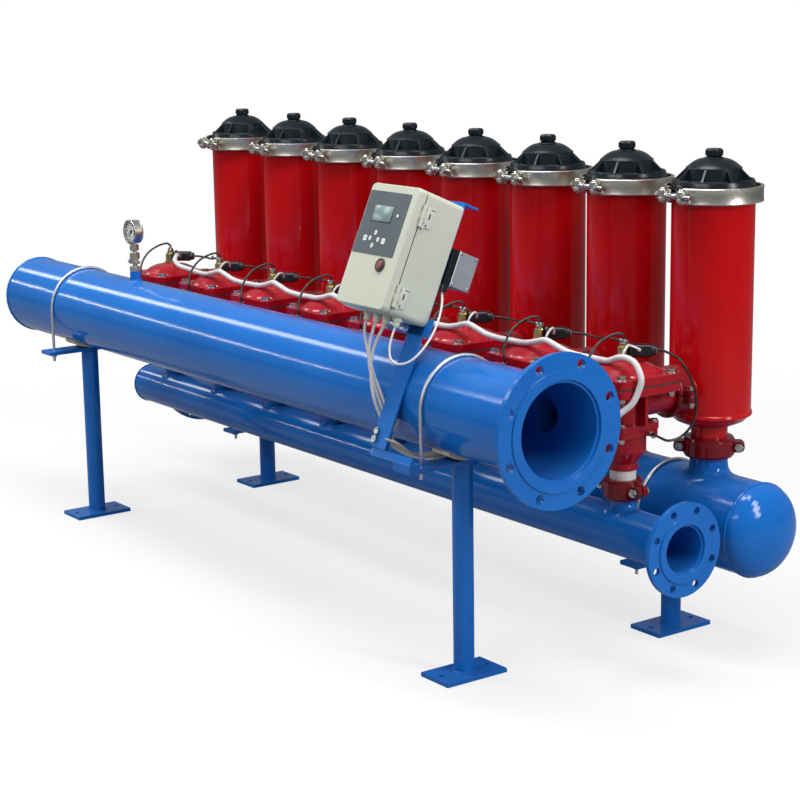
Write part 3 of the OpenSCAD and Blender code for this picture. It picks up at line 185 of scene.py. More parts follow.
def roundedOutline(w, h, r, steps=5):
    points = []
    for cx, cy, a0 in ((w - r, r, -90), (w - r, h - r, 0), (r, h - r, 90), (r, r, 180)):
        for k in range(steps + 1):
            a = math.radians(a0 + 90 * k / steps)
            points.append((cx + r * math.cos(a), cy + r * math.sin(a)))
    return points


def placePiece(name, data, finish, body):
    piece = bpy.data.objects.new(name, data)
    scene.collection.objects.link(piece)
    data.materials.append(finishes[finish])
    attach(piece, body)
    return piece


def finishPiece(build, name, finish, body="battery", angle=38):
    bmesh.ops.remove_doubles(build, verts=build.verts, dist=1e-6)
    bmesh.ops.recalc_face_normals(build, faces=build.faces)
    mesh = bpy.data.meshes.new(name)
    build.to_mesh(mesh)
    build.free()
    mesh.shade_smooth()
    mesh.set_sharp_from_angle(angle=math.radians(angle))
    return placePiece(name, mesh, finish, body)


def smoothRoute(points, parts):
    route = [Vector(p) for p in points]
    out = []
    for i in range(len(route) - 1):
        p0 = route[max(i - 1, 0)]
        p1, p2 = route[i], route[i + 1]
        p3 = route[min(i + 2, len(route) - 1)]
        for k in range(parts):
            t = k / parts
            out.append(0.5 * ((2 * p1) + (p2 - p0) * t + (2 * p0 - 5 * p1 + 4 * p2 - p3) * t * t
                              + (3 * p1 - p0 - 3 * p2 + p3) * t ** 3))
    out.append(route[-1])
    return out


def addCurvePiece(name, routes, radius, finish):
    data = bpy.data.curves.new(name, "CURVE")
    data.dimensions = "3D"
    data.bevel_depth = radius
    data.bevel_resolution = 6
    data.use_fill_caps = True
    for route in routes:
        spline = data.splines.new("POLY")
        spline.points.add(len(route) - 1)
        for point, place in zip(spline.points, route):
            point.co = (*place, 1)
        spline.use_smooth = True
    return placePiece(name, data, finish, "battery")


# shader groups shared by several finishes
skinOutputs = {"Colour": "NodeSocketColor", "Roughness": "NodeSocketFloat", "Height": "NodeSocketFloat"}


def newGroup(name, inputs, outputs):
    group = bpy.data.node_groups.new(name, "ShaderNodeTree")
    for label, value in inputs.items():
        kind = "NodeSocketFloat"
        if isinstance(value, tuple):
            kind = "NodeSocketColor" if len(value) == 4 else "NodeSocketVector"
        socket = group.interface.new_socket(label, in_out="INPUT", socket_type=kind)
        socket.default_value = value
    for label, kind in outputs.items():
        group.interface.new_socket(label, in_out="OUTPUT", socket_type=kind)
    return group, group.nodes.new("NodeGroupInput").outputs, group.nodes.new("NodeGroupOutput")


# a socket is linked to the input, anything else is its value
def feed(tree, node, values):
    for key, value in values.items():
        if isinstance(value, bpy.types.NodeSocket):
            tree.links.new(value, node.inputs[key])
        else:
            node.inputs[key].default_value = value


# hands back the new node's outputs
def addNode(tree, kind, values, **settings):
    node = tree.nodes.new("ShaderNode" + kind)
    for key, value in settings.items():
        setattr(node, key, value)
    feed(tree, node, values)
    return node.outputs


# two colours, shared out by a noise between low and high
def addTone(tree, noise, low, high, first, second):
    share = addNode(tree, "MapRange", {"Value": noise, "From Min": low, "From Max": high})["Result"]
    return addNode(tree, "Mix", {"Factor": share, "A": first, "B": second}, data_type="RGBA")["Result"]


def addRough(tree, noise, into):
    return addNode(tree, "MapRange", {
        "Value": noise, "To Min": into["Rough low"], "To Max": into["Rough high"]})["Result"]


def makePaintSkin():
    group, into, out = newGroup("paintSkin", {
        "Colour": (0.1, 0.1, 0.1, 1), "Shade": (0.05, 0.05, 0.05, 1), "Cloud scale": 3.0, "Peel scale": 260.0,
        "Rough low": 0.18, "Rough high": 0.32, "Dust": 0.15}, skinOutputs)
    spot = addNode(group, "TexCoord", {})["Object"]
    cloud = addNode(group, "TexNoise", {
        "Vector": spot, "Scale": into["Cloud scale"], "Detail": 4.0, "Roughness": 0.6})["Fac"]
    tone = addTone(group, cloud, 0.35, 0.68, into["Colour"], into["Shade"])
    # dust settles on what faces up
    facing = addNode(group, "NewGeometry", {})["Normal"]
    up = addNode(group, "SeparateXYZ", {"Vector": facing})["Z"]
    top = addNode(group, "MapRange", {"Value": up, "From Min": 0.55, "From Max": 1.0})["Result"]
    speck = addNode(group, "TexNoise", {"Vector": spot, "Scale": 45.0, "Detail": 6.0})["Fac"]
    patch = addNode(group, "Math", {0: top, 1: speck}, operation="MULTIPLY")["Value"]
    amount = addNode(group, "Math", {0: patch, 1: into["Dust"]}, operation="MULTIPLY")["Value"]
    dusty = addNode(group, "Mix", {"Factor": amount, "A": tone, "B": (0.55, 0.53, 0.5, 1)}, data_type="RGBA")
    peel = addNode(group, "TexNoise", {
        "Vector": spot, "Scale": into["Peel scale"], "Detail": 2.0, "Roughness": 0.45})["Fac"]
    feed(group, out, {"Colour": dusty["Result"], "Roughness": addRough(group, speck, into), "Height": peel})
    return group


def makeGrainSkin():
    group, into, out = newGroup("grainSkin", {
        "Colour": (0.1, 0.1, 0.1, 1), "Worn": (0.2, 0.2, 0.2, 1), "Grain scale": 900.0, "Patch scale": 14.0,
        "Rough low": 0.35, "Rough high": 0.55}, skinOutputs)
    spot = addNode(group, "TexCoord", {})["Object"]
    patch = addNode(group, "TexNoise", {
        "Vector": spot, "Scale": into["Patch scale"], "Detail": 5.0, "Roughness": 0.62})["Fac"]
    grain = addNode(group, "TexVoronoi", {
        "Vector": spot, "Scale": into["Grain scale"], "Randomness": 1.0}, feature="SMOOTH_F1")["Distance"]
    feed(group, out, {"Colour": addTone(group, patch, 0.4, 0.75, into["Colour"], into["Worn"]),
                      "Roughness": addRough(group, patch, into), "Height": grain})
    return group


def makeBrushed():
    group, into, out = newGroup("brushedMetal", {
        "Colour": (0.6, 0.6, 0.6, 1), "Dark": (0.35, 0.35, 0.35, 1), "Stretch": (40.0, 40.0, 900.0),
        "Rough low": 0.2, "Rough high": 0.42}, skinOutputs)
    spot = addNode(group, "TexCoord", {})["Object"]
    drawn = addNode(group, "VectorMath", {0: spot, 1: into["Stretch"]}, operation="MULTIPLY")["Vector"]
    streak = addNode(group, "TexNoise", {
        "Vector": drawn, "Scale": 1.0, "Detail": 5.0, "Roughness": 0.65})["Fac"]
    feed(group, out, {"Colour": addTone(group, streak, 0.3, 0.72, into["Dark"], into["Colour"]),
                      "Roughness": addRough(group, streak, into), "Height": streak})
    return group


def makeSoftEdge():
    group, into, out = newGroup("softEdge", {"Radius": 0.002},
                                {"Normal": "NodeSocketVector", "Edge": "NodeSocketFloat"})
    rounded = addNode(group, "Bevel", {"Radius": into["Radius"]}, samples=4)["Normal"]
    plain = addNode(group, "NewGeometry", {})["Normal"]
    close = addNode(group, "VectorMath", {0: rounded, 1: plain}, operation="DOT_PRODUCT")["Value"]
    rub = addNode(group, "MapRange", {"Value": close, "From Min": 0.995, "From Max": 0.8})["Result"]
    feed(group, out, {"Normal": rounded, "Edge": rub})
    return group


paintSkin = makePaintSkin()
grainSkin = makeGrainSkin()
brushedMetal = makeBrushed()
softEdge = makeSoftEdge()


def newMaterial(name):
    material = bpy.data.materials.new(name)
    material.use_nodes = True
    return material, material.node_tree, material.node_tree.nodes["Principled BSDF"]


# edgeTint is the colour of rubbed edges and its share
def newFinish(name, group, values, bump, edge, edgeTint=None, **sockets):
    material, tree, shader = newMaterial(name)
    skin = addNode(tree, "Group", values, node_tree=group)
    colour = skin["Colour"]
    ripple = {"Height": skin["Height"], "Strength": bump[0], "Distance": bump[1]}
    if edge:
        corner = addNode(tree, "Group", {"Radius": edge}, node_tree=softEdge)
        ripple["Normal"] = corner["Normal"]
    if edge and edgeTint:
        share = addNode(tree, "Math", {0: corner["Edge"], 1: edgeTint[3]}, operation="MULTIPLY")["Value"]
        colour = addNode(tree, "Mix", {"Factor": share, "A": colour, "B": (*edgeTint[:3], 1)},
                         data_type="RGBA")["Result"]
    feed(tree, shader, {key.replace("_", " "): value for key, value in sockets.items()})
    feed(tree, shader, {"Base Color": colour, "Roughness": skin["Roughness"],
                        "Normal": addNode(tree, "Bump", ripple)["Normal"]})
    return material


finishes = {}


def paint(name, colour, shade, tint, dust=0.05, coat=0.1, low=0.09, high=0.17):
    values = {"Colour": (*colour, 1), "Shade": (*shade, 1), "Dust": dust,
              "Rough low": low, "Rough high": high}
    finishes[name] = newFinish(name, paintSkin, values, (0.12, 0.0008), edge=0.0022, edgeTint=tint,
                               Specular_IOR_Level=0.26, Coat_Weight=coat, Coat_Roughness=0.05)


def plastic(name, colour, worn, low=0.35, high=0.52, grain=900.0, patch=14.0, bump=(0.08, 0.0003),
            edge=0.0012, **more):
    values = {"Colour": (*colour, 1), "Worn": (*worn, 1), "Grain scale": grain, "Patch scale": patch,
              "Rough low": low, "Rough high": high}
    finishes[name] = newFinish(name, grainSkin, values, bump, edge, **more)


def metal(name, colour, dark, stretch, low=0.2, high=0.4, edge=0.0008, bump=(0.05, 0.0002)):
    values = {"Colour": (*colour, 1), "Dark": (*dark, 1), "Stretch": stretch,
              "Rough low": low, "Rough high": high}
    finishes[name] = newFinish(name, brushedMetal, values, bump, edge, Metallic=1.0)


paint("bluePaint", (0.007, 0.148, 0.53), (0.005, 0.124, 0.47), tint=(0.05, 0.24, 0.64, 0.25))
paint("redPaint", (0.50, 0.003, 0.006), (0.42, 0.003, 0.005), tint=(0.62, 0.03, 0.03, 0.25))
paint("valveRed", (0.37, 0.004, 0.014), (0.29, 0.003, 0.011), tint=(0.50, 0.03, 0.04, 0.25))
paint("couplingRed", (0.20, 0.005, 0.010), (0.15, 0.004, 0.008), tint=(0.32, 0.02, 0.03, 0.25))
plastic("coverPlastic", (0.006, 0.009, 0.012), (0.010, 0.013, 0.017), low=0.2, high=0.32, edge=0.0018,
        Specular_IOR_Level=0.3)
plastic("coilPlastic", (0.008, 0.009, 0.010), (0.014, 0.014, 0.015), low=0.26, high=0.4)
plastic("tubePlastic", (0.006, 0.006, 0.007), (0.01, 0.01, 0.011), low=0.22, high=0.34, edge=0)
plastic("gasketRubber", (0.012, 0.012, 0.013), (0.03, 0.03, 0.03), low=0.6, high=0.8)
plastic("padRubber", (0.55, 0.50, 0.38), (0.42, 0.37, 0.27), low=0.6, high=0.8)
plastic("whitePlastic", (0.74, 0.72, 0.70), (0.62, 0.60, 0.57), low=0.35, high=0.5, edge=0)
plastic("cablePlastic", (0.64, 0.61, 0.60), (0.54, 0.51, 0.50), low=0.4, high=0.55, edge=0)
plastic("beigePlastic", (0.54, 0.56, 0.465), (0.51, 0.53, 0.44), low=0.36, high=0.48, grain=700.0,
        Specular_IOR_Level=0.3)
plastic("hingeBeige", (0.60, 0.61, 0.54), (0.56, 0.57, 0.50), low=0.36, high=0.48, grain=700.0)
plastic("greyPlastic", (0.23, 0.25, 0.28), (0.28, 0.30, 0.33), low=0.35, high=0.5)
plastic("panelFilm", (0.080, 0.102, 0.115), (0.092, 0.115, 0.13), low=0.3, high=0.42, grain=1600.0,
        Specular_IOR_Level=0.3)
plastic("discPlastic", (0.40, 0.04, 0.03), (0.30, 0.03, 0.02))
plastic("buttonRed", (0.27, 0.06, 0.05), (0.22, 0.045, 0.04), low=0.3, high=0.42)
plastic("keyWhite", (0.86, 0.87, 0.86), (0.80, 0.81, 0.80), low=0.35, high=0.5, edge=0)
plastic("fittingPlastic", (0.03, 0.03, 0.033), (0.05, 0.05, 0.052))
plastic("boardGreen", (0.012, 0.085, 0.035), (0.016, 0.10, 0.045), low=0.25, high=0.35, grain=2200.0)
plastic("dialFace", (0.80, 0.80, 0.78), (0.74, 0.74, 0.72), low=0.4, high=0.5, edge=0)
plastic("screenFilm", (0.18, 0.26, 0.245), (0.22, 0.30, 0.28), low=0.15, high=0.25, grain=2400.0,
        bump=(0.02, 0.0001))
metal("bandSteel", (0.74, 0.72, 0.64), (0.54, 0.52, 0.45), (60.0, 60.0, 1400.0), low=0.22, high=0.38)
metal("zincBolt", (0.66, 0.65, 0.62), (0.38, 0.37, 0.34), (300.0, 300.0, 300.0), low=0.16, high=0.34)
metal("rodZinc", (0.70, 0.72, 0.74), (0.62, 0.64, 0.66), (60.0, 60.0, 60.0), low=0.42, high=0.52,
      bump=(0.01, 0.0001))
metal("chromeBright", (0.66, 0.66, 0.65), (0.34, 0.34, 0.33), (160.0, 160.0, 160.0), low=0.1, high=0.22,
      bump=(0.02, 0.0001))
metal("brassBody", (0.62, 0.47, 0.20), (0.42, 0.30, 0.11), (220.0, 220.0, 220.0))


def makeGlass(name):
    material, tree, shader = newMaterial(name)
    smear = addNode(tree, "TexNoise", {"Scale": 60.0, "Detail": 4.0})["Fac"]
    rough = addNode(tree, "MapRange", {"Value": smear, "To Min": 0.0, "To Max": 0.08})["Result"]
    tint = addNode(tree, "Mix", {"Factor": smear, "A": (0.96, 0.97, 0.97, 1), "B": (0.88, 0.92, 0.93, 1)},
                   data_type="RGBA")["Result"]
    feed(tree, shader, {"Transmission Weight": 1.0, "IOR": 1.2, "Roughness": rough, "Base Color": tint})
    finishes[name] = material


makeGlass("lensGlass")

nodeFinish = {
    "bluePaint": ["inlet_manifold", "outlet_manifold", "drain_manifold", "front_leg_left", "front_leg_right",
                  "rear_leg_left", "rear_leg_right", "controller_strap"],
    "redPaint": ["filter_housings"],
    "valveRed": ["valve_bodies", "valve_outlets", "valve_bonnets"],
    "couplingRed": ["branch_couplings", "drain_couplings"],
    "coverPlastic": ["filter_covers", "vent_caps", "disc_spines", "disc_pistons", "switch_base"]
    + ["valve_plunger_%d" % (k + 1) for k in range(layout["units"])],
    "coilPlastic": ["solenoid_coils"],
    "tubePlastic": ["control_tubes"],
    "gasketRubber": ["cover_seals", "bonnet_gaskets"],
    "padRubber": ["saddle_pads"],
    "whitePlastic": ["drain_nipples", "wiring_trunk", "solenoid_leads", "switch_cable"],
    "cablePlastic": ["controller_cables"],
    "beigePlastic": ["controller_box", "controller_lid", "cable_glands"],
    "greyPlastic": ["switch_cover"],
    "panelFilm": ["keypad_panel"],
    "discPlastic": ["disc_stacks"],
    "buttonRed": ["push_button"],
    "fittingPlastic": ["gauge_pointer"],
    "dialFace": ["gauge_dial"],
    "bandSteel": ["clamp_bands", "gauge_case", "gauge_fittings", "disc_springs", "lid_hinge_pins"],
    "zincBolt": ["clamp_bolts", "valve_bolts", "coupling_bolts", "u_bolt_nuts", "strap_bolts",
                 "tube_fittings"],
    "rodZinc": ["u_bolts"],
    "brassBody": ["solenoid_bodies"],
    "lensGlass": ["gauge_lens"],
}
for finish, members in nodeFinish.items():
    for member in members:
        data = nodes[member].data
        data.materials.clear()
        data.materials.append(finishes[finish])
print("finishes set:", len(finishes))


# cables of the controller: u along the box, depth and height in its leaning frame, in millimetres
def leanPoint(u, y, z):
    return leaning @ Vector((layout["boxX"] + u / 1000, y / 1000, z / 1000))


controllerCables = {
    "radius": 0.0035,
    "routes": [
        [(50, -180.3, 120), (51, -178, 97), (58, -169, 72), (69, -155, 41), (84, -141, 9), (96, -128, -14),
         (104, -115, -32), (111, -105.5, -46), (120, -103.8, -55), (130, -103.7, -60), (139, -103.7, -62)],
        [(86, -180.3, 120), (84, -179, 96), (80, -173, 66), (83, -163, 33), (90, -150, 4), (98, -136, -21),
         (104, -119, -43), (111, -105.3, -61), (120, -103.8, -70), (130, -103.7, -75), (139, -103.7, -77)],
        [(121, -180.3, 120), (119, -184, 96), (111, -182, 66), (104, -173, 35), (101, -159, 4),
         (102, -145, -25), (105, -126, -53), (111, -106, -76), (120, -103.9, -85), (130, -103.7, -90),
         (139, -103.7, -92)],
    ],
}
switchCable = {
    "radius": 0.0025,
    "route": [(160, -180.3, 120), (160, -181, 97), (163, -180, 70), (176, -177, 47), (200, -171, 40),
              (222, -160, 53), (234, -147, 84), (231, -130, 128), (213, -114, 172), (192, -103.5, 204),
              (179, -100.8, 222), (179, -100.8, 234)],
}


def makeCords():
    for k, route in enumerate(controllerCables["routes"]):
        line = smoothRoute([leanPoint(*p) for p in route], 3)
        piece = addCurvePiece("controllerCable%d" % (k + 1), [line], controllerCables["radius"],
                              "cablePlastic")
        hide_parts("controller_cables")
    line = smoothRoute([leanPoint(*p) for p in switchCable["route"]], 3)
    piece = addCurvePiece("switchCord", [line], switchCable["radius"], "whitePlastic")
    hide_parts("switch_cable")
    print("cords made")


makeCords()


# white trunk over the bonnets, the leads to the coils, the black control tubes; routes in millimetres,
# x and y from the middle of a valve, apart from "under", which is in the frame of the whole
wiring = {
    "trunkRadius": 0.007, "leadRadius": 0.0025, "tubeRadius": 0.003, "rest": 714.6, "across": -48.0,
    "start": [(46, -5, 740), (86, -35, 732), (136, -48, 722), (196, -48, 718), (246, -48, 714.6)],
    "wave": [(0, 0), (40, 8), (76, 17), (112, 10), (150, 1), (200, -2), (246, -1)],
    "end": [(0, -48, 714.6), (30, -48, 725.6), (46, -48, 728.6), (62, -48, 729.6), (86, -48, 723.6),
            (102, -48, 706), (110, -49, 686), (106, -54, 662), (100, -66, 636), (87, -84, 618)],
    "under": [(1128, -84, 594), (1112, -122, 572), (1090, -164, 554), (1060, -198, 544), (1024, -215, 540),
              (984, -219.5, 539.5), (904, -219.5, 539.5), (868, -219.5, 539.5), (842, -222, 537),
              (826, -230, 527), (816, -248, 513), (810, -276, 503), (808, -310, 499.5), (805, -345, 502),
              (802, -378, 511), (799, -405, 526), (797, -420.5, 538.4), (796, -427.4, 552.8),
              (796, -426.8, 566.7), (796, -422.4, 577.9)],
    # low and high corners in the leaning frame
    "splice": [((0.787, -0.1095, -0.100), (0.805, -0.098, -0.050)),
               ((0.787, -0.1095, -0.100), (0.805, -0.0855, -0.070))],
    # leads start on the trunk, at x and height, and run from there to the coil
    "leadFrom": (76, 731.6), "lastLeadFrom": (46, 728.6),
    "lead": [(0, -46, 4), (0, -41, 14), (-9, -22, 22), (-24, -2, 18)],
    "leadEnd": [(41, 9, 739), (34, 13.2, 734)],
    "firstLead": [(45.8, -4.8, 740), (41, 2, 742), (37, 9.5, 738), (33.7, 13.5, 733)],
    "link": [(51.1, 51.1, 733), (60.8, 60.8, 733), (90.8, 64.8, 733), (174, 44, 738), (224, 14, 753.5),
             (254, 0, 753.5), (278.7, 0, 753.5)],
    "drop": [(0, 0, 758.3), (0, 0, 764), (-4, -10, 772), (-11, -34, 767), (-17, -62, 752), (-16, -86, 728),
             (-7, -102, 702), (0, -107, 689.5), (0, -107, 674.8)],
    "loop": [(51.1, 51.1, 733), (60.8, 60.8, 733), (89, 78, 719), (101, 92, 695), (110, 106, 661),
             (112, 115, 630), (110, 117, 598), (106, 106, 562), (98, 84, 540), (91, 54, 534), (87, 32, 543),
             (84, 18, 551), (72.3, 18, 551)],
}


def millimetres(points, spot=(0, 0)):
    return [Vector((x / 1000 + spot[0], y / 1000 + spot[1], z / 1000)) for x, y, z in points]


def makeWiring():
    spots = [(x, layout["valveY"]) for x in unitXs]
    route = millimetres(wiring["start"], spots[0])
    for spot in spots[1:-1]:
        route += millimetres([(x, wiring["across"], wiring["rest"] + z) for x, z in wiring["wave"]], spot)
    route += millimetres(wiring["end"], spots[-1]) + millimetres(wiring["under"])
    trunk = addCurvePiece("trunkHose", [smoothRoute(route, 3)], wiring["trunkRadius"], "cablePlastic")
    splice = bmesh.new()
    for low, high in wiring["splice"]:
        addBlock(splice, low, high, 0.003, leaning)
    block = finishPiece(splice, "spliceBlock", "cablePlastic")
    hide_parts("wiring_trunk")
    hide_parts("wiring_trunk")
    leads = [wiring["firstLead"]]
    for x, z in [wiring["leadFrom"]] * (len(spots) - 2) + [wiring["lastLeadFrom"]]:
        leads.append([(x + dx, y, z + dz) for dx, y, dz in wiring["lead"]] + wiring["leadEnd"])
    leads = [smoothRoute(millimetres(lead, spot), 6) for lead, spot in zip(leads, spots)]
    piece = addCurvePiece("coilLeads", leads, wiring["leadRadius"], "cablePlastic")
    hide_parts("solenoid_leads")
    tubes = [smoothRoute(millimetres(wiring["link"], spot), 5) for spot in spots[:-1]]
    tubes += [smoothRoute(millimetres(wiring["drop"], spot), 5) for spot in spots]
    tubes.append(smoothRoute(millimetres(wiring["loop"], spots[-1]), 5))
    piece = addCurvePiece("controlTubes", tubes, wiring["tubeRadius"], "tubePlastic")
    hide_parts("control_tubes")
    print("wiring made")


makeWiring()


# pulled fillets and welds of the blue pipework
pipework = {
    "riserFillet": 0.024, "drainFillet": 0.016, "inletFillet": 0.018, "socketFillet": 0.007, "socketR": 0.015,
    # x, pipe, ring radius, bead radius
    "rings": [(1.2108, "inlet", 0.1100, 0.0045), (-1.2588, "outlet", 0.1100, 0.0045),
              (1.2438, "drain", 0.0575, 0.004), (-1.204, "inlet", 0.1092, 0.0034),
              (1.216, "outlet", 0.1092, 0.003), (-1.134, "drain", 0.0568, 0.0026)],
    # x, y, height of the weld under the saddle bar
    "legs": [(0.889, -0.300, 0.497), (-0.895, -0.300, 0.497), (0.935, 0.300, 0.176), (-0.889, 0.300, 0.176)],
    "footZ": 0.0105, "legR": 0.0245, "legBead": 0.003,
}
pipeLines = {"inlet": (layout["inletY"], layout["inletZ"]), "outlet": (layout["filterY"], layout["outletZ"]),
             "drain": (layout["valveY"], layout["drainZ"])}


# fillet from a branch down to the pipe that it stands on
def addSaddle(build, place, branchR, pipeR, reach, offset=0.0, turns=44, rows=8, lift=0.0004):
    columns = []
    for k in range(turns):
        c, s = math.cos(math.tau * k / turns), math.sin(math.tau * k / turns)

        def onPipe(r):
            return math.sqrt(pipeR ** 2 - (offset + r * s) ** 2)

        top = (branchR + lift, onPipe(branchR) + reach)
        mid = (branchR + lift, onPipe(branchR) + lift)
        far = (branchR + reach, onPipe(branchR + reach) + lift)
        column = []
        for j in range(rows + 1):
            t = j / rows
            r, z = ((1 - t) ** 2 * a + 2 * t * (1 - t) * b + t * t * d for a, b, d in zip(top, mid, far))
            z = max(z, onPipe(r) + lift)
            column.append(build.verts.new(place @ Vector((r * c, offset + r * s, z))))
        columns.append(column)
    joinRows(build, columns, closed=True)


def makePipework():
    def onLine(x, pipe):
        return Matrix.Translation((x, *pipeLines[pipe]))

    build = bmesh.new()
    branchR, mainR = layout["branchR"], layout["mainR"]
    for x in unitXs:
        addSaddle(build, onLine(x, "outlet"), branchR, mainR, pipework["riserFillet"])
        addSaddle(build, onLine(x, "drain"), layout["smallR"], layout["drainR"], pipework["drainFillet"])
        addSaddle(build, onLine(x, "inlet") @ turned(-90, "X"), branchR, mainR, pipework["inletFillet"],
                  offset=layout["inletZ"] - layout["portZ"])
    addSaddle(build, onLine(layout["gaugeX"], "inlet"), pipework["socketR"], mainR, pipework["socketFillet"])
    finishPiece(build, "pipeFillets", "bluePaint", angle=60)
    build = bmesh.new()
    for x, pipe, ringR, beadR in pipework["rings"]:
        addRing(build, (x, *pipeLines[pipe]), "x", ringR, beadR, turns=200, sides=8, ripple=0.07)
    for x, y, top in pipework["legs"]:
        for z in (pipework["footZ"], top):
            addRing(build, (x, y, z), "z", pipework["legR"], pipework["legBead"], turns=80, ripple=0.08)
    finishPiece(build, "weldBeads", "bluePaint", angle=60)
    print("fillets and welds made")


makePipework()


# clamp bands with their closures; profiles as radius and height, "eye", "pin" and "sleeve" as upper halves
clamp = {
    "gap": 12.0, "turn": 266.0, "height": 1.064, "eyeOut": 0.1215, "eyeApart": 0.032, "rodOut": 0.1225,
    "band": [(0.1060, -0.0182), (0.1122, -0.0182), (0.1137, -0.0168), (0.1133, -0.0138), (0.1127, -0.0115),
             (0.1127, 0.0115), (0.1133, 0.0138), (0.1137, 0.0168), (0.1122, 0.0182), (0.1060, 0.0182),
             (0.1060, 0.0164), (0.1098, 0.0140), (0.1098, -0.0140), (0.1060, -0.0164), (0.1060, -0.0182)],
    "eye": [(0.0100, 0.0045), (0.0112, 0.0050), (0.0112, 0.0125), (0.0102, 0.0135), (0.0074, 0.0135)],
    "pin": [(0.0070, 0.0160), (0.0060, 0.0172), (0, 0.0175)],
    "sleeve": [(0.0064, 0.0030), (0.0082, 0.0040), (0.0082, 0.0180), (0.0078, 0.0195), (0.0046, 0.0195)],
    "tabs": [((0.1090, -0.029, -0.0125), (0.1135, -0.017, 0.0125)),
             ((0.1090, 0.017, -0.0125), (0.1135, 0.039, 0.0125))],
    "rod": [(0, -0.056), (0.0042, -0.056), (0.0048, -0.055), (0.0048, 0.062), (0.0040, 0.063), (0, 0.063)],
    "washer": [(0.0042, 0.0395), (0.0098, 0.0395), (0.0098, 0.0425), (0.0042, 0.0425)],
    # radius, from and to along the rod
    "nuts": [(0.0098, 0.0425, 0.0515), (0.0098, -0.0505, -0.0420)],
}


def makeClamps():
    bands, pins = bmesh.new(), bmesh.new()
    gap = math.radians(clamp["gap"])
    for x in unitXs:
        place = Matrix.Translation((x, layout["filterY"], clamp["height"])) @ turned(clamp["turn"], "Z")
        addLathe(bands, clamp["band"], 110, place, gap, math.tau - 2 * gap)
        for side, tab in zip((-1, 1), clamp["tabs"]):
            at = place @ Matrix.Translation((clamp["eyeOut"], side * clamp["eyeApart"], 0))
            # rolled end of the band round its pin
            addLathe(bands, mirrored(clamp["eye"]), 22, at)
            addBlock(bands, *tab, 0.001, place)
            addLathe(pins, mirrored(clamp["pin"]), 18, at)
        rod = place @ Matrix.Translation((clamp["rodOut"], 0, 0)) @ turned(-90, "X")
        addLathe(pins, clamp["rod"], 14, rod)
        addLathe(pins, mirrored(clamp["sleeve"]), 18, rod)
        addLathe(pins, clamp["washer"], 18, rod)
        for nut in clamp["nuts"]:
            addHex(pins, *nut, rod)
    piece = finishPiece(bands, "clampHoops", "bandSteel")
    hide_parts("clamp_bands")
    piece = finishPiece(pins, "clampClosures", "chromeBright")
    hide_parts("clamp_bolts")
    print("clamps made")


makeClamps()

# ribs of the vent caps, and beads where the cap and the cover change width
knob = {
    "r": 0.0189, "ribs": 18, "ribR": 0.0015, "ribLow": 1.1485, "ribHigh": 1.1598,
    # height, ring radius, bead radius, turns
    "beads": [(1.1421, 0.0212, 0.0016, 40), (1.0936, 0.0905, 0.0018, 72), (1.1206, 0.0625, 0.0016, 60)],
}


def makeKnobs():
    build = bmesh.new()
    y = layout["filterY"]
    for x in unitXs:
        for k in range(knob["ribs"]):
            a = math.tau * k / knob["ribs"]
            px, py = x + knob["r"] * math.cos(a), y + knob["r"] * math.sin(a)
            addSweep(build, [(px, py, knob["ribLow"]), (px, py, knob["ribHigh"])], knob["ribR"], sides=7)
        for z, ringR, beadR, turns in knob["beads"]:
            addRing(build, (x, y, z), "z", ringR, beadR, turns)
    finishPiece(build, "knobRibs", "coverPlastic")
    print("knobs ribbed")


makeKnobs()

# springs over the disc stacks, built at rest, though the pistons press them together as they lift; "wire" is
# a radius
spring = {
    "low": 0.9466, "high": 0.992, "r": 0.018, "wire": 0.0025, "turns": 4, "perTurn": 24, "travel": 0.012,
}


def makeSprings():
    build = bmesh.new()
    count = spring["turns"] * spring["perTurn"]
    rise = spring["high"] - spring["low"] - 2 * spring["wire"]
    for x in unitXs:
        path = []
        for k in range(count + 1):
            a = math.tau * k / spring["perTurn"]
            path.append((x + spring["r"] * math.cos(a), layout["filterY"] + spring["r"] * math.sin(a),
                         spring["low"] + spring["wire"] + rise * k / count))
        addSweep(build, path, spring["wire"], sides=8)
    piece = finishPiece(build, "springCoils", "bandSteel")
    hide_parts("disc_springs")
    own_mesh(piece)
    print("springs made")


makeSprings()

# washers, coils and brass of the valves
valveTrim = {
    # half of the spacing, height and radius of the washers under bonnet and lower bolts
    "washers": [(0.074, 0.685, 0.0142), (0.048, 0.572, 0.0106)],
    "coilZ": 0.733, "coilTurn": 45.0, "baseZ": 0.713,
    # out along the coil
    "coilCap": [(0, 0.0140), (0.0172, 0.0140), (0.0180, 0.0150), (0.0180, 0.0185), (0.0170, 0.0195),
                (0, 0.0195)],
    "coilEnd": [(0, 0.0590), (0.0128, 0.0590), (0.0128, 0.0635), (0.0112, 0.0650), (0.0112, 0.0700),
                (0.0090, 0.0722), (0, 0.0722)],
    "coilSocket": ((-0.0105, -0.0152, 0.0235), (0.0105, 0.0152, 0.0425)), "coilNut": (0.0068, 0.0700, 0.0742),
    # up from the base
    "baseNut": (0.0172, 0.0006, 0.0086),
    "collar": [(0, 0.0270), (0.0118, 0.0270), (0.0124, 0.0285), (0.0118, 0.0305), (0.0098, 0.0312),
               (0, 0.0312)],
    "topNut": [(0, 0.0358), (0.0085, 0.0358), (0.0088, 0.0372), (0.0078, 0.0392), (0, 0.0392)],
}


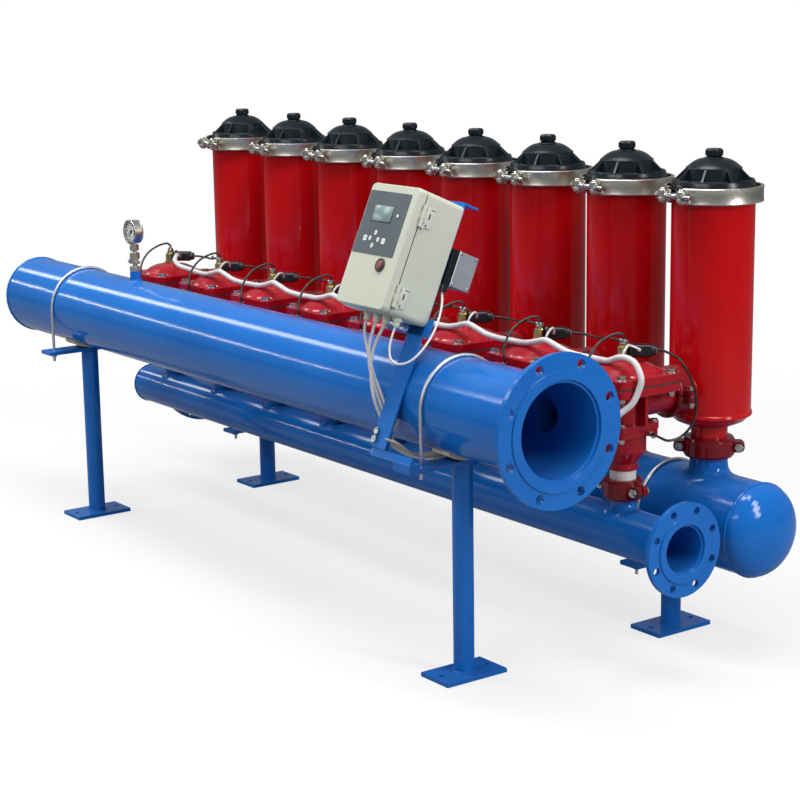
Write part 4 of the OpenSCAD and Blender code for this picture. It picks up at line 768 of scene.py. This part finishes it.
def makeValveTrim():
    washers, black, brass, bright = bmesh.new(), bmesh.new(), bmesh.new(), bmesh.new()
    y = layout["valveY"]
    for x in unitXs:
        for half, z, r in valveTrim["washers"]:
            profile = [(0.004, 0.0001), (r, 0.0001), (r, 0.0018), (r - 0.0008, 0.0024), (0.004, 0.0024)]
            for sx, sy in ((-1, -1), (-1, 1), (1, -1), (1, 1)):
                addLathe(washers, profile, 20, Matrix.Translation((x + sx * half, y + sy * half, z)))
        coil = (Matrix.Translation((x, y, valveTrim["coilZ"])) @ turned(valveTrim["coilTurn"], "Z")
                @ turned(90, "Y"))
        addLathe(black, valveTrim["coilCap"], 26, coil)
        addLathe(black, valveTrim["coilEnd"], 24, coil)
        addBlock(black, *valveTrim["coilSocket"], 0.0025, coil)
        addHex(bright, *valveTrim["coilNut"], coil)
        base = Matrix.Translation((x, y, valveTrim["baseZ"]))
        addHex(brass, *valveTrim["baseNut"], base)
        addLathe(brass, valveTrim["collar"], 24, base)
        addLathe(bright, valveTrim["topNut"], 20, base)
    finishPiece(washers, "boltWashers", "zincBolt")
    finishPiece(black, "coilTrim", "coilPlastic")
    finishPiece(brass, "brassNuts", "brassBody")
    finishPiece(bright, "coilNuts", "chromeBright")
    print("valve trim made")


makeValveTrim()

# controller face, in its leaning frame; u and v in millimetres from the box's lower left corner
face = {
    "front": -0.2433, "rise": 0.138, "filmTall": 0.0008,
    "screen": (38, 193, 108, 229), "rimWide": 2, "rimTall": 0.0006, "glass": (0.0009, 0.0004),
    "arrows": [(70, 167), (55, 153), (85, 152), (70, 137)],
    "arrowSize": (0.0092, 0.0118), "arrowCentre": (0.0030, 0.0040),
    "squares": [(37, 152), (106, 150)], "squareSize": (0.0116, 0.0124), "squareRound": 0.0015,
    "keyTall": 0.0006, "centreTall": 0.0009,
    # dark bars on the square keys
    "barHalf": (3.2, 0.45), "barStep": 2.6, "bar": (0.0008, 0.0003),
    "lamp": (130, 210),
    "lampRing": [(0, 0), (0.0048, 0), (0.0048, 0.0005), (0.0040, 0.0009), (0, 0.0009)],
    "lampDot": [(0, 0.0006), (0.0034, 0.0006), (0.0034, 0.0011), (0.0026, 0.0015), (0, 0.0016)],
    "button": (123, 97),
    "buttonRing": [(0.0104, 0.0), (0.0158, 0.0), (0.0158, 0.0022), (0.0146, 0.0040), (0.0122, 0.0044),
                   (0.0104, 0.0034)],
    # width, height and corner of the rounded edge and of the dark bead of painted shade in the seam between
    # lid and box
    "edge": (0.1716, 0.2716, 0.0085), "edgeR": 0.0042,
    "seal": (0.176, 0.276, 0.0105), "sealIn": 0.002, "sealY": -0.2211, "sealR": 0.0024,
    # hinge plates, and thin dark blocks of painted shade where the plates' slots are, z from the middle of
    # the hinge; the blocks as y, z, width and height
    "hinges": [40, 224],
    "plates": [((0.8268, -0.2195, -0.0225), (0.8296, -0.1885, 0.0225)),
               ((0.8268, -0.2205, -0.0265), (0.8335, -0.2085, -0.0205))],
    "slotShades": [(-0.2145, 0.0155, 0.0062, 0.0052), (-0.2145, -0.0130, 0.0062, 0.0052),
              (-0.2005, 0.004, 0.0036, 0.013), (-0.1955, 0.0195, 0.012, 0.0018),
              (-0.2040, -0.0175, 0.0042, 0.0036)],
    "slotShadeX": (0.8290, 0.8299),
}


def faceBlock(build, box, y0, y1, bevel):
    u0, v0, u1, v1 = box
    addBlock(build, (layout["boxX"] + u0 / 1000, y0, face["rise"] + v0 / 1000),
             (layout["boxX"] + u1 / 1000, y1, face["rise"] + v1 / 1000), bevel, leaning)


def facePlace(u, v, y):
    return (leaning @ Matrix.Translation((layout["boxX"] + u / 1000, y, face["rise"] + v / 1000))
            @ turned(90, "X"))


def diamond(w, h):
    x, y = w * 0.36, h * 0.28
    return [(0, -h / 2), (x, -y), (w / 2, 0), (x, y), (0, h / 2), (-x, y), (-w / 2, 0), (-x, -y)]


# closed bead round the lid or the box, from its outline
def addRim(build, outline, inset, y, r, sides):
    path = [leaning @ Vector((layout["boxX"] + x + inset, y, face["rise"] + z + inset)) for x, z in outline]
    addSweep(build, path, r, sides, closed=True)


def makeFace():
    front = face["front"]
    film = front - face["filmTall"]
    u0, v0, u1, v1 = face["screen"]
    wide = face["rimWide"]
    rim, screen, white, dark = bmesh.new(), bmesh.new(), bmesh.new(), bmesh.new()
    faceBlock(rim, (u0 - wide, v0 - wide, u1 + wide, v1 + wide), film - face["rimTall"], film, 0.0003)
    faceBlock(screen, face["screen"], film - face["glass"][0], film - face["glass"][1], 0.0002)
    for u, v in face["arrows"]:
        addPrism(white, diamond(*face["arrowSize"]), 0, face["keyTall"], facePlace(u, v, film))
        addPrism(dark, diamond(*face["arrowCentre"]), 0, face["centreTall"], facePlace(u, v, film))
    w, h = face["squareSize"]
    square = [(x - w / 2, y - h / 2) for x, y in roundedOutline(w, h, face["squareRound"])]
    barU, barV = face["barHalf"]
    for u, v in face["squares"]:
        addPrism(white, square, 0, face["keyTall"], facePlace(u, v, film))
        for k in (-1, 0, 1):
            at = v + face["barStep"] * k
            faceBlock(dark, (u - barU, at - barV, u + barU, at + barV), film - face["bar"][0],
                      film - face["bar"][1], 0)
    addLathe(dark, face["lampRing"], 20, facePlace(*face["lamp"], film))
    addLathe(white, face["lampDot"], 20, facePlace(*face["lamp"], film))
    finishPiece(rim, "screenRim", "fittingPlastic", "lid")
    finishPiece(screen, "screenGlass", "screenFilm", "lid")
    finishPiece(white, "keyMarks", "keyWhite", "lid")
    finishPiece(dark, "keyCentres", "panelFilm", "lid")
    ring, edge, seal = bmesh.new(), bmesh.new(), bmesh.new()
    addLathe(ring, face["buttonRing"], 40, facePlace(*face["button"], front))
    finishPiece(ring, "buttonRing", "fittingPlastic", "lid")
    r = face["edgeR"]
    addRim(edge, roundedOutline(*face["edge"], 8), r, front + r, r, sides=14)
    finishPiece(edge, "lidEdge", "beigePlastic", "lid")
    plates, slotShades = bmesh.new(), bmesh.new()
    x0, x1 = face["slotShadeX"]
    for v in face["hinges"]:
        z = face["rise"] + v / 1000
        for low, high in face["plates"]:
            addBlock(plates, (*low[:2], z + low[2]), (*high[:2], z + high[2]), 0.0012, leaning)
        # dark blocks laid on the plates stand for the shade inside the slots: painted shade
        for y, dz, w, h in face["slotShades"]:
            addBlock(slotShades, (x0, y - w / 2, z + dz - h / 2), (x1, y + w / 2, z + dz + h / 2), 0, leaning)
    finishPiece(plates, "hingePlates", "hingeBeige")
    finishPiece(slotShades, "hingeSlotShade", "gasketRubber")
    # dark bead in the seam between lid and box: painted shade of the groove there
    addRim(seal, roundedOutline(*face["seal"], 6), face["sealIn"], face["sealY"], face["sealR"], sides=10)
    finishPiece(seal, "lidSeamShade", "gasketRubber")
    print("controller face made")


makeFace()

# inside of the controller, seen with the lid open; u and v as on the face
board = {
    "front": -0.1498, "sheet": (21, 51, 159, 219), "sheetTall": 0.0006,
    "strip": (28, 70, 152, 83), "stripTall": 0.011,
    "relayRow": 99, "relayFrom": 30, "relayStep": 15.6, "relaySize": (12, 19), "relayTall": 0.015,
    "chips": [(58, 150, 84, 176), (100, 146, 112, 184), (124, 160, 140, 172)], "chipTall": 0.003,
    "stripScrew": [(0, 0), (0.0028, 0), (0.0028, 0.0006), (0, 0.0008)],
    "screws": [(30, 60), (150, 60), (30, 210), (150, 210)],
    "screw": [(0, 0), (0.0042, 0), (0.0042, 0.0012), (0.0030, 0.0022), (0, 0.0024)],
}


def makeBoard():
    sheet, strip, relays, screws = bmesh.new(), bmesh.new(), bmesh.new(), bmesh.new()
    front = board["front"]
    faceBlock(sheet, board["sheet"], front - board["sheetTall"], front + 0.0002, 0.0003)
    faceBlock(strip, board["strip"], front - board["stripTall"], front, 0.0006)
    middle = (board["strip"][1] + board["strip"][3]) / 2
    w, h = board["relaySize"]
    for k in range(layout["units"]):
        u, v = board["relayFrom"] + k * board["relayStep"], board["relayRow"]
        faceBlock(relays, (u, v, u + w, v + h), front - board["relayTall"], front, 0.0008)
        addLathe(screws, board["stripScrew"], 14, facePlace(u + w / 2, middle, front - board["stripTall"]))
    for chip in board["chips"]:
        faceBlock(relays, chip, front - board["chipTall"], front, 0.0004)
    for u, v in board["screws"]:
        addLathe(screws, board["screw"], 18, facePlace(u, v, front - board["sheetTall"]))
    finishPiece(sheet, "boardSheet", "boardGreen")
    finishPiece(strip, "boardStrip", "greyPlastic")
    finishPiece(relays, "boardRelays", "coilPlastic")
    finishPiece(screws, "boardScrews", "chromeBright")
    print("board made")


makeBoard()

# pressure switch screws and seam, strap cross plate, curled mat under the pipe
carrier = {
    "screwX": 0.8338,
    "screws": [(-0.0878, 0.2485), (-0.0878, 0.3175), (-0.0430, 0.2485), (-0.0430, 0.3175)],
    "screw": [(0, 0), (0.0034, 0), (0.0034, 0.0008), (0.0024, 0.0018), (0.0008, 0.0020), (0, 0.0014)],
    # low and high corners in the leaning frame
    "seam": ((0.7755, -0.0940, 0.2425), (0.8345, -0.0915, 0.3235)),
    "cross": ((0.692, -0.1148, 0.116), (0.845, -0.1100, 0.158)),
    # y and z in millimetres
    "mat": [(-250, 510.5), (-300, 511.5), (-329, 512.5), (-352, 513.5), (-376, 515.5), (-401, 521),
            (-416, 528), (-429, 537), (-441, 547), (-452, 556), (-463, 563)],
    "matX": (0.824, 0.864), "matThick": 0.004,
}


def makeCarrier():
    screws, lip, plate, mat = bmesh.new(), bmesh.new(), bmesh.new(), bmesh.new()
    for y, z in carrier["screws"]:
        at = leaning @ Matrix.Translation((carrier["screwX"], y, z)) @ turned(90, "Y")
        addLathe(screws, carrier["screw"], 16, at)
    finishPiece(screws, "switchScrews", "chromeBright")
    addBlock(lip, *carrier["seam"], 0.0008, leaning)
    finishPiece(lip, "switchSeam", "whitePlastic")
    addBlock(plate, *carrier["cross"], 0.0012, leaning)
    finishPiece(plate, "strapCross", "bluePaint")
    line = smoothRoute([Vector((y / 1000, z / 1000, 0)) for y, z in carrier["mat"]], 3)
    half = carrier["matThick"] / 2
    outline = [(p.x, p.y + half) for p in line] + [(p.x, p.y - half) for p in reversed(line)]
    toYZ = Matrix(((0, 0, 1, 0), (1, 0, 0, 0), (0, 1, 0, 0), (0, 0, 0, 1)))
    addPrism(mat, outline, *carrier["matX"], toYZ)
    finishPiece(mat, "curledMat", "padRubber")
    print("carrier made")


makeCarrier()

# marks and bezel of the gauge
gauge = {
    "z": 0.872, "dialY": -0.3061, "r": 0.0265,
    "ticks": 41, "longEvery": 5, "long": 0.0052, "short": 0.0028, "firstTurn": 225, "sweep": 270,
    "halfWide": 0.00035, "under": 0.0001, "tall": 0.0003,
    # y, ring radius, bead radius, sides
    "beads": [(-0.3122, 0.0318, 0.0030, 10), (-0.2886, 0.0312, 0.0022, 8)],
}


def makeGauge():
    marks, bezel = bmesh.new(), bmesh.new()
    x, z = layout["gaugeX"], gauge["z"]
    dial = Matrix.Translation((x, gauge["dialY"], z)) @ turned(90, "X")
    for k in range(gauge["ticks"]):
        length = gauge["short"] if k % gauge["longEvery"] else gauge["long"]
        turn = gauge["firstTurn"] - gauge["sweep"] * k / (gauge["ticks"] - 1)
        addBlock(marks, (gauge["r"] - length, -gauge["halfWide"], -gauge["under"]),
                 (gauge["r"], gauge["halfWide"], gauge["tall"]), 0, dial @ turned(turn, "Z"))
    finishPiece(marks, "gaugeMarks", "fittingPlastic")
    for y, ringR, beadR, sides in gauge["beads"]:
        addRing(bezel, (x, y, z), "y", ringR, beadR, turns=64, sides=sides)
    finishPiece(bezel, "gaugeBezel", "chromeBright")
    print("gauge marked")


makeGauge()

# stage and light
stage = {
    "half": 150.0, "rough": 0.9, "seen": (0.86, 0.86, 0.86, 1), "bounced": (0.30, 0.30, 0.31, 1),
    # share of pure white near the object, where the shadow is kept, and further out
    "fadeFrom": 1.2, "fadeTo": 3.2, "nearWhite": 0.70, "farWhite": 1.0,
    "sky": (0.95, 0.97, 1.0, 1), "skyLight": 0.36, "skyGloss": 0.26,
}
pureWhite = {"Color": (1, 1, 1, 1), "Strength": 1.0}


def makeFloor():
    mesh = bpy.data.meshes.new("floor")
    size = stage["half"]
    mesh.from_pydata([(-size, -size, 0), (size, -size, 0), (size, size, 0), (-size, size, 0)], [],
                     [(0, 1, 2, 3)])
    floor = bpy.data.objects.new("floor", mesh)
    scene.collection.objects.link(floor)
    material, tree, shader = newMaterial("paleFloor")
    mesh.materials.append(material)
    camera = addNode(tree, "LightPath", {})["Is Camera Ray"]
    spot = addNode(tree, "NewGeometry", {})["Position"]
    away = addNode(tree, "VectorMath", {0: spot}, operation="LENGTH")["Value"]
    fade = addNode(tree, "MapRange", {
        "Value": away, "From Min": stage["fadeFrom"], "From Max": stage["fadeTo"],
        "To Min": stage["nearWhite"], "To Max": stage["farWhite"]}, interpolation_type="SMOOTHSTEP")["Result"]
    share = addNode(tree, "Math", {0: camera, 1: fade}, operation="MULTIPLY")["Value"]
    tone = addNode(tree, "Mix", {"Factor": camera, "A": stage["bounced"], "B": stage["seen"]},
                   data_type="RGBA")["Result"]
    feed(tree, shader, {"Base Color": tone, "Roughness": stage["rough"]})
    glow = addNode(tree, "Emission", pureWhite)["Emission"]
    mixed = addNode(tree, "MixShader", {0: share, 1: shader.outputs["BSDF"], 2: glow})["Shader"]
    feed(tree, tree.nodes["Material Output"], {"Surface": mixed})


def makeSky():
    world = bpy.data.worlds.new("studio")
    scene.world = world
    world.use_nodes = True
    tree = world.node_tree
    ambient = tree.nodes["Background"]
    ray = addNode(tree, "LightPath", {})
    # dimmer in reflections, so that the gloss stays deep
    dim = addNode(tree, "MapRange", {
        "Value": ray["Is Glossy Ray"], "To Min": stage["skyLight"], "To Max": stage["skyGloss"]})["Result"]
    feed(tree, ambient, {"Color": stage["sky"], "Strength": dim})
    seen = addNode(tree, "Math", {0: ray["Is Camera Ray"], 1: ray["Is Transmission Ray"]},
                   operation="MAXIMUM")["Value"]
    backdrop = addNode(tree, "Background", pureWhite)["Background"]
    mixed = addNode(tree, "MixShader", {0: seen, 1: ambient.outputs["Background"], 2: backdrop})["Shader"]
    feed(tree, tree.nodes["World Output"], {"Surface": mixed})


studioLights = [
    # name, place, aim, width, height, watts
    ("topStrip", (0.3, -0.5, 3.6), (0.1, 0.0, 0.6), 5.0, 0.55, 125),
    ("frontStrip", (1.6, -4.2, 3.2), (0.2, 0.0, 0.6), 3.6, 0.5, 62),
    ("leftSoft", (-3.0, -3.0, 4.0), (-0.2, 0.0, 0.6), 1.2, 1.4, 34),
    ("farStrip", (-5.1, -0.8, 3.6), (-5.1, -0.8, 0.0), 4.5, 0.6, 60),
    ("lineStrip", (-6.1, -3.3, 2.25), (-0.6, -0.3, 0.7), 2.8, 0.07, 20),
    ("rightSoft", (4.6, 0.9, 2.4), (0.4, 0.1, 0.7), 0.7, 2.2, 95),
]


def makeLights():
    for name, place, aim, width, height, watts in studioLights:
        data = bpy.data.lights.new(name, "AREA")
        data.shape = "RECTANGLE"
        data.size, data.size_y = width, height
        data.energy = watts
        lamp = bpy.data.objects.new(name, data)
        scene.collection.objects.link(lamp)
        lamp.location = place
        lamp.rotation_euler = (Vector(aim) - Vector(place)).to_track_quat("-Z", "Y").to_euler()


makeFloor()
makeSky()
makeLights()
print("stage and light set")
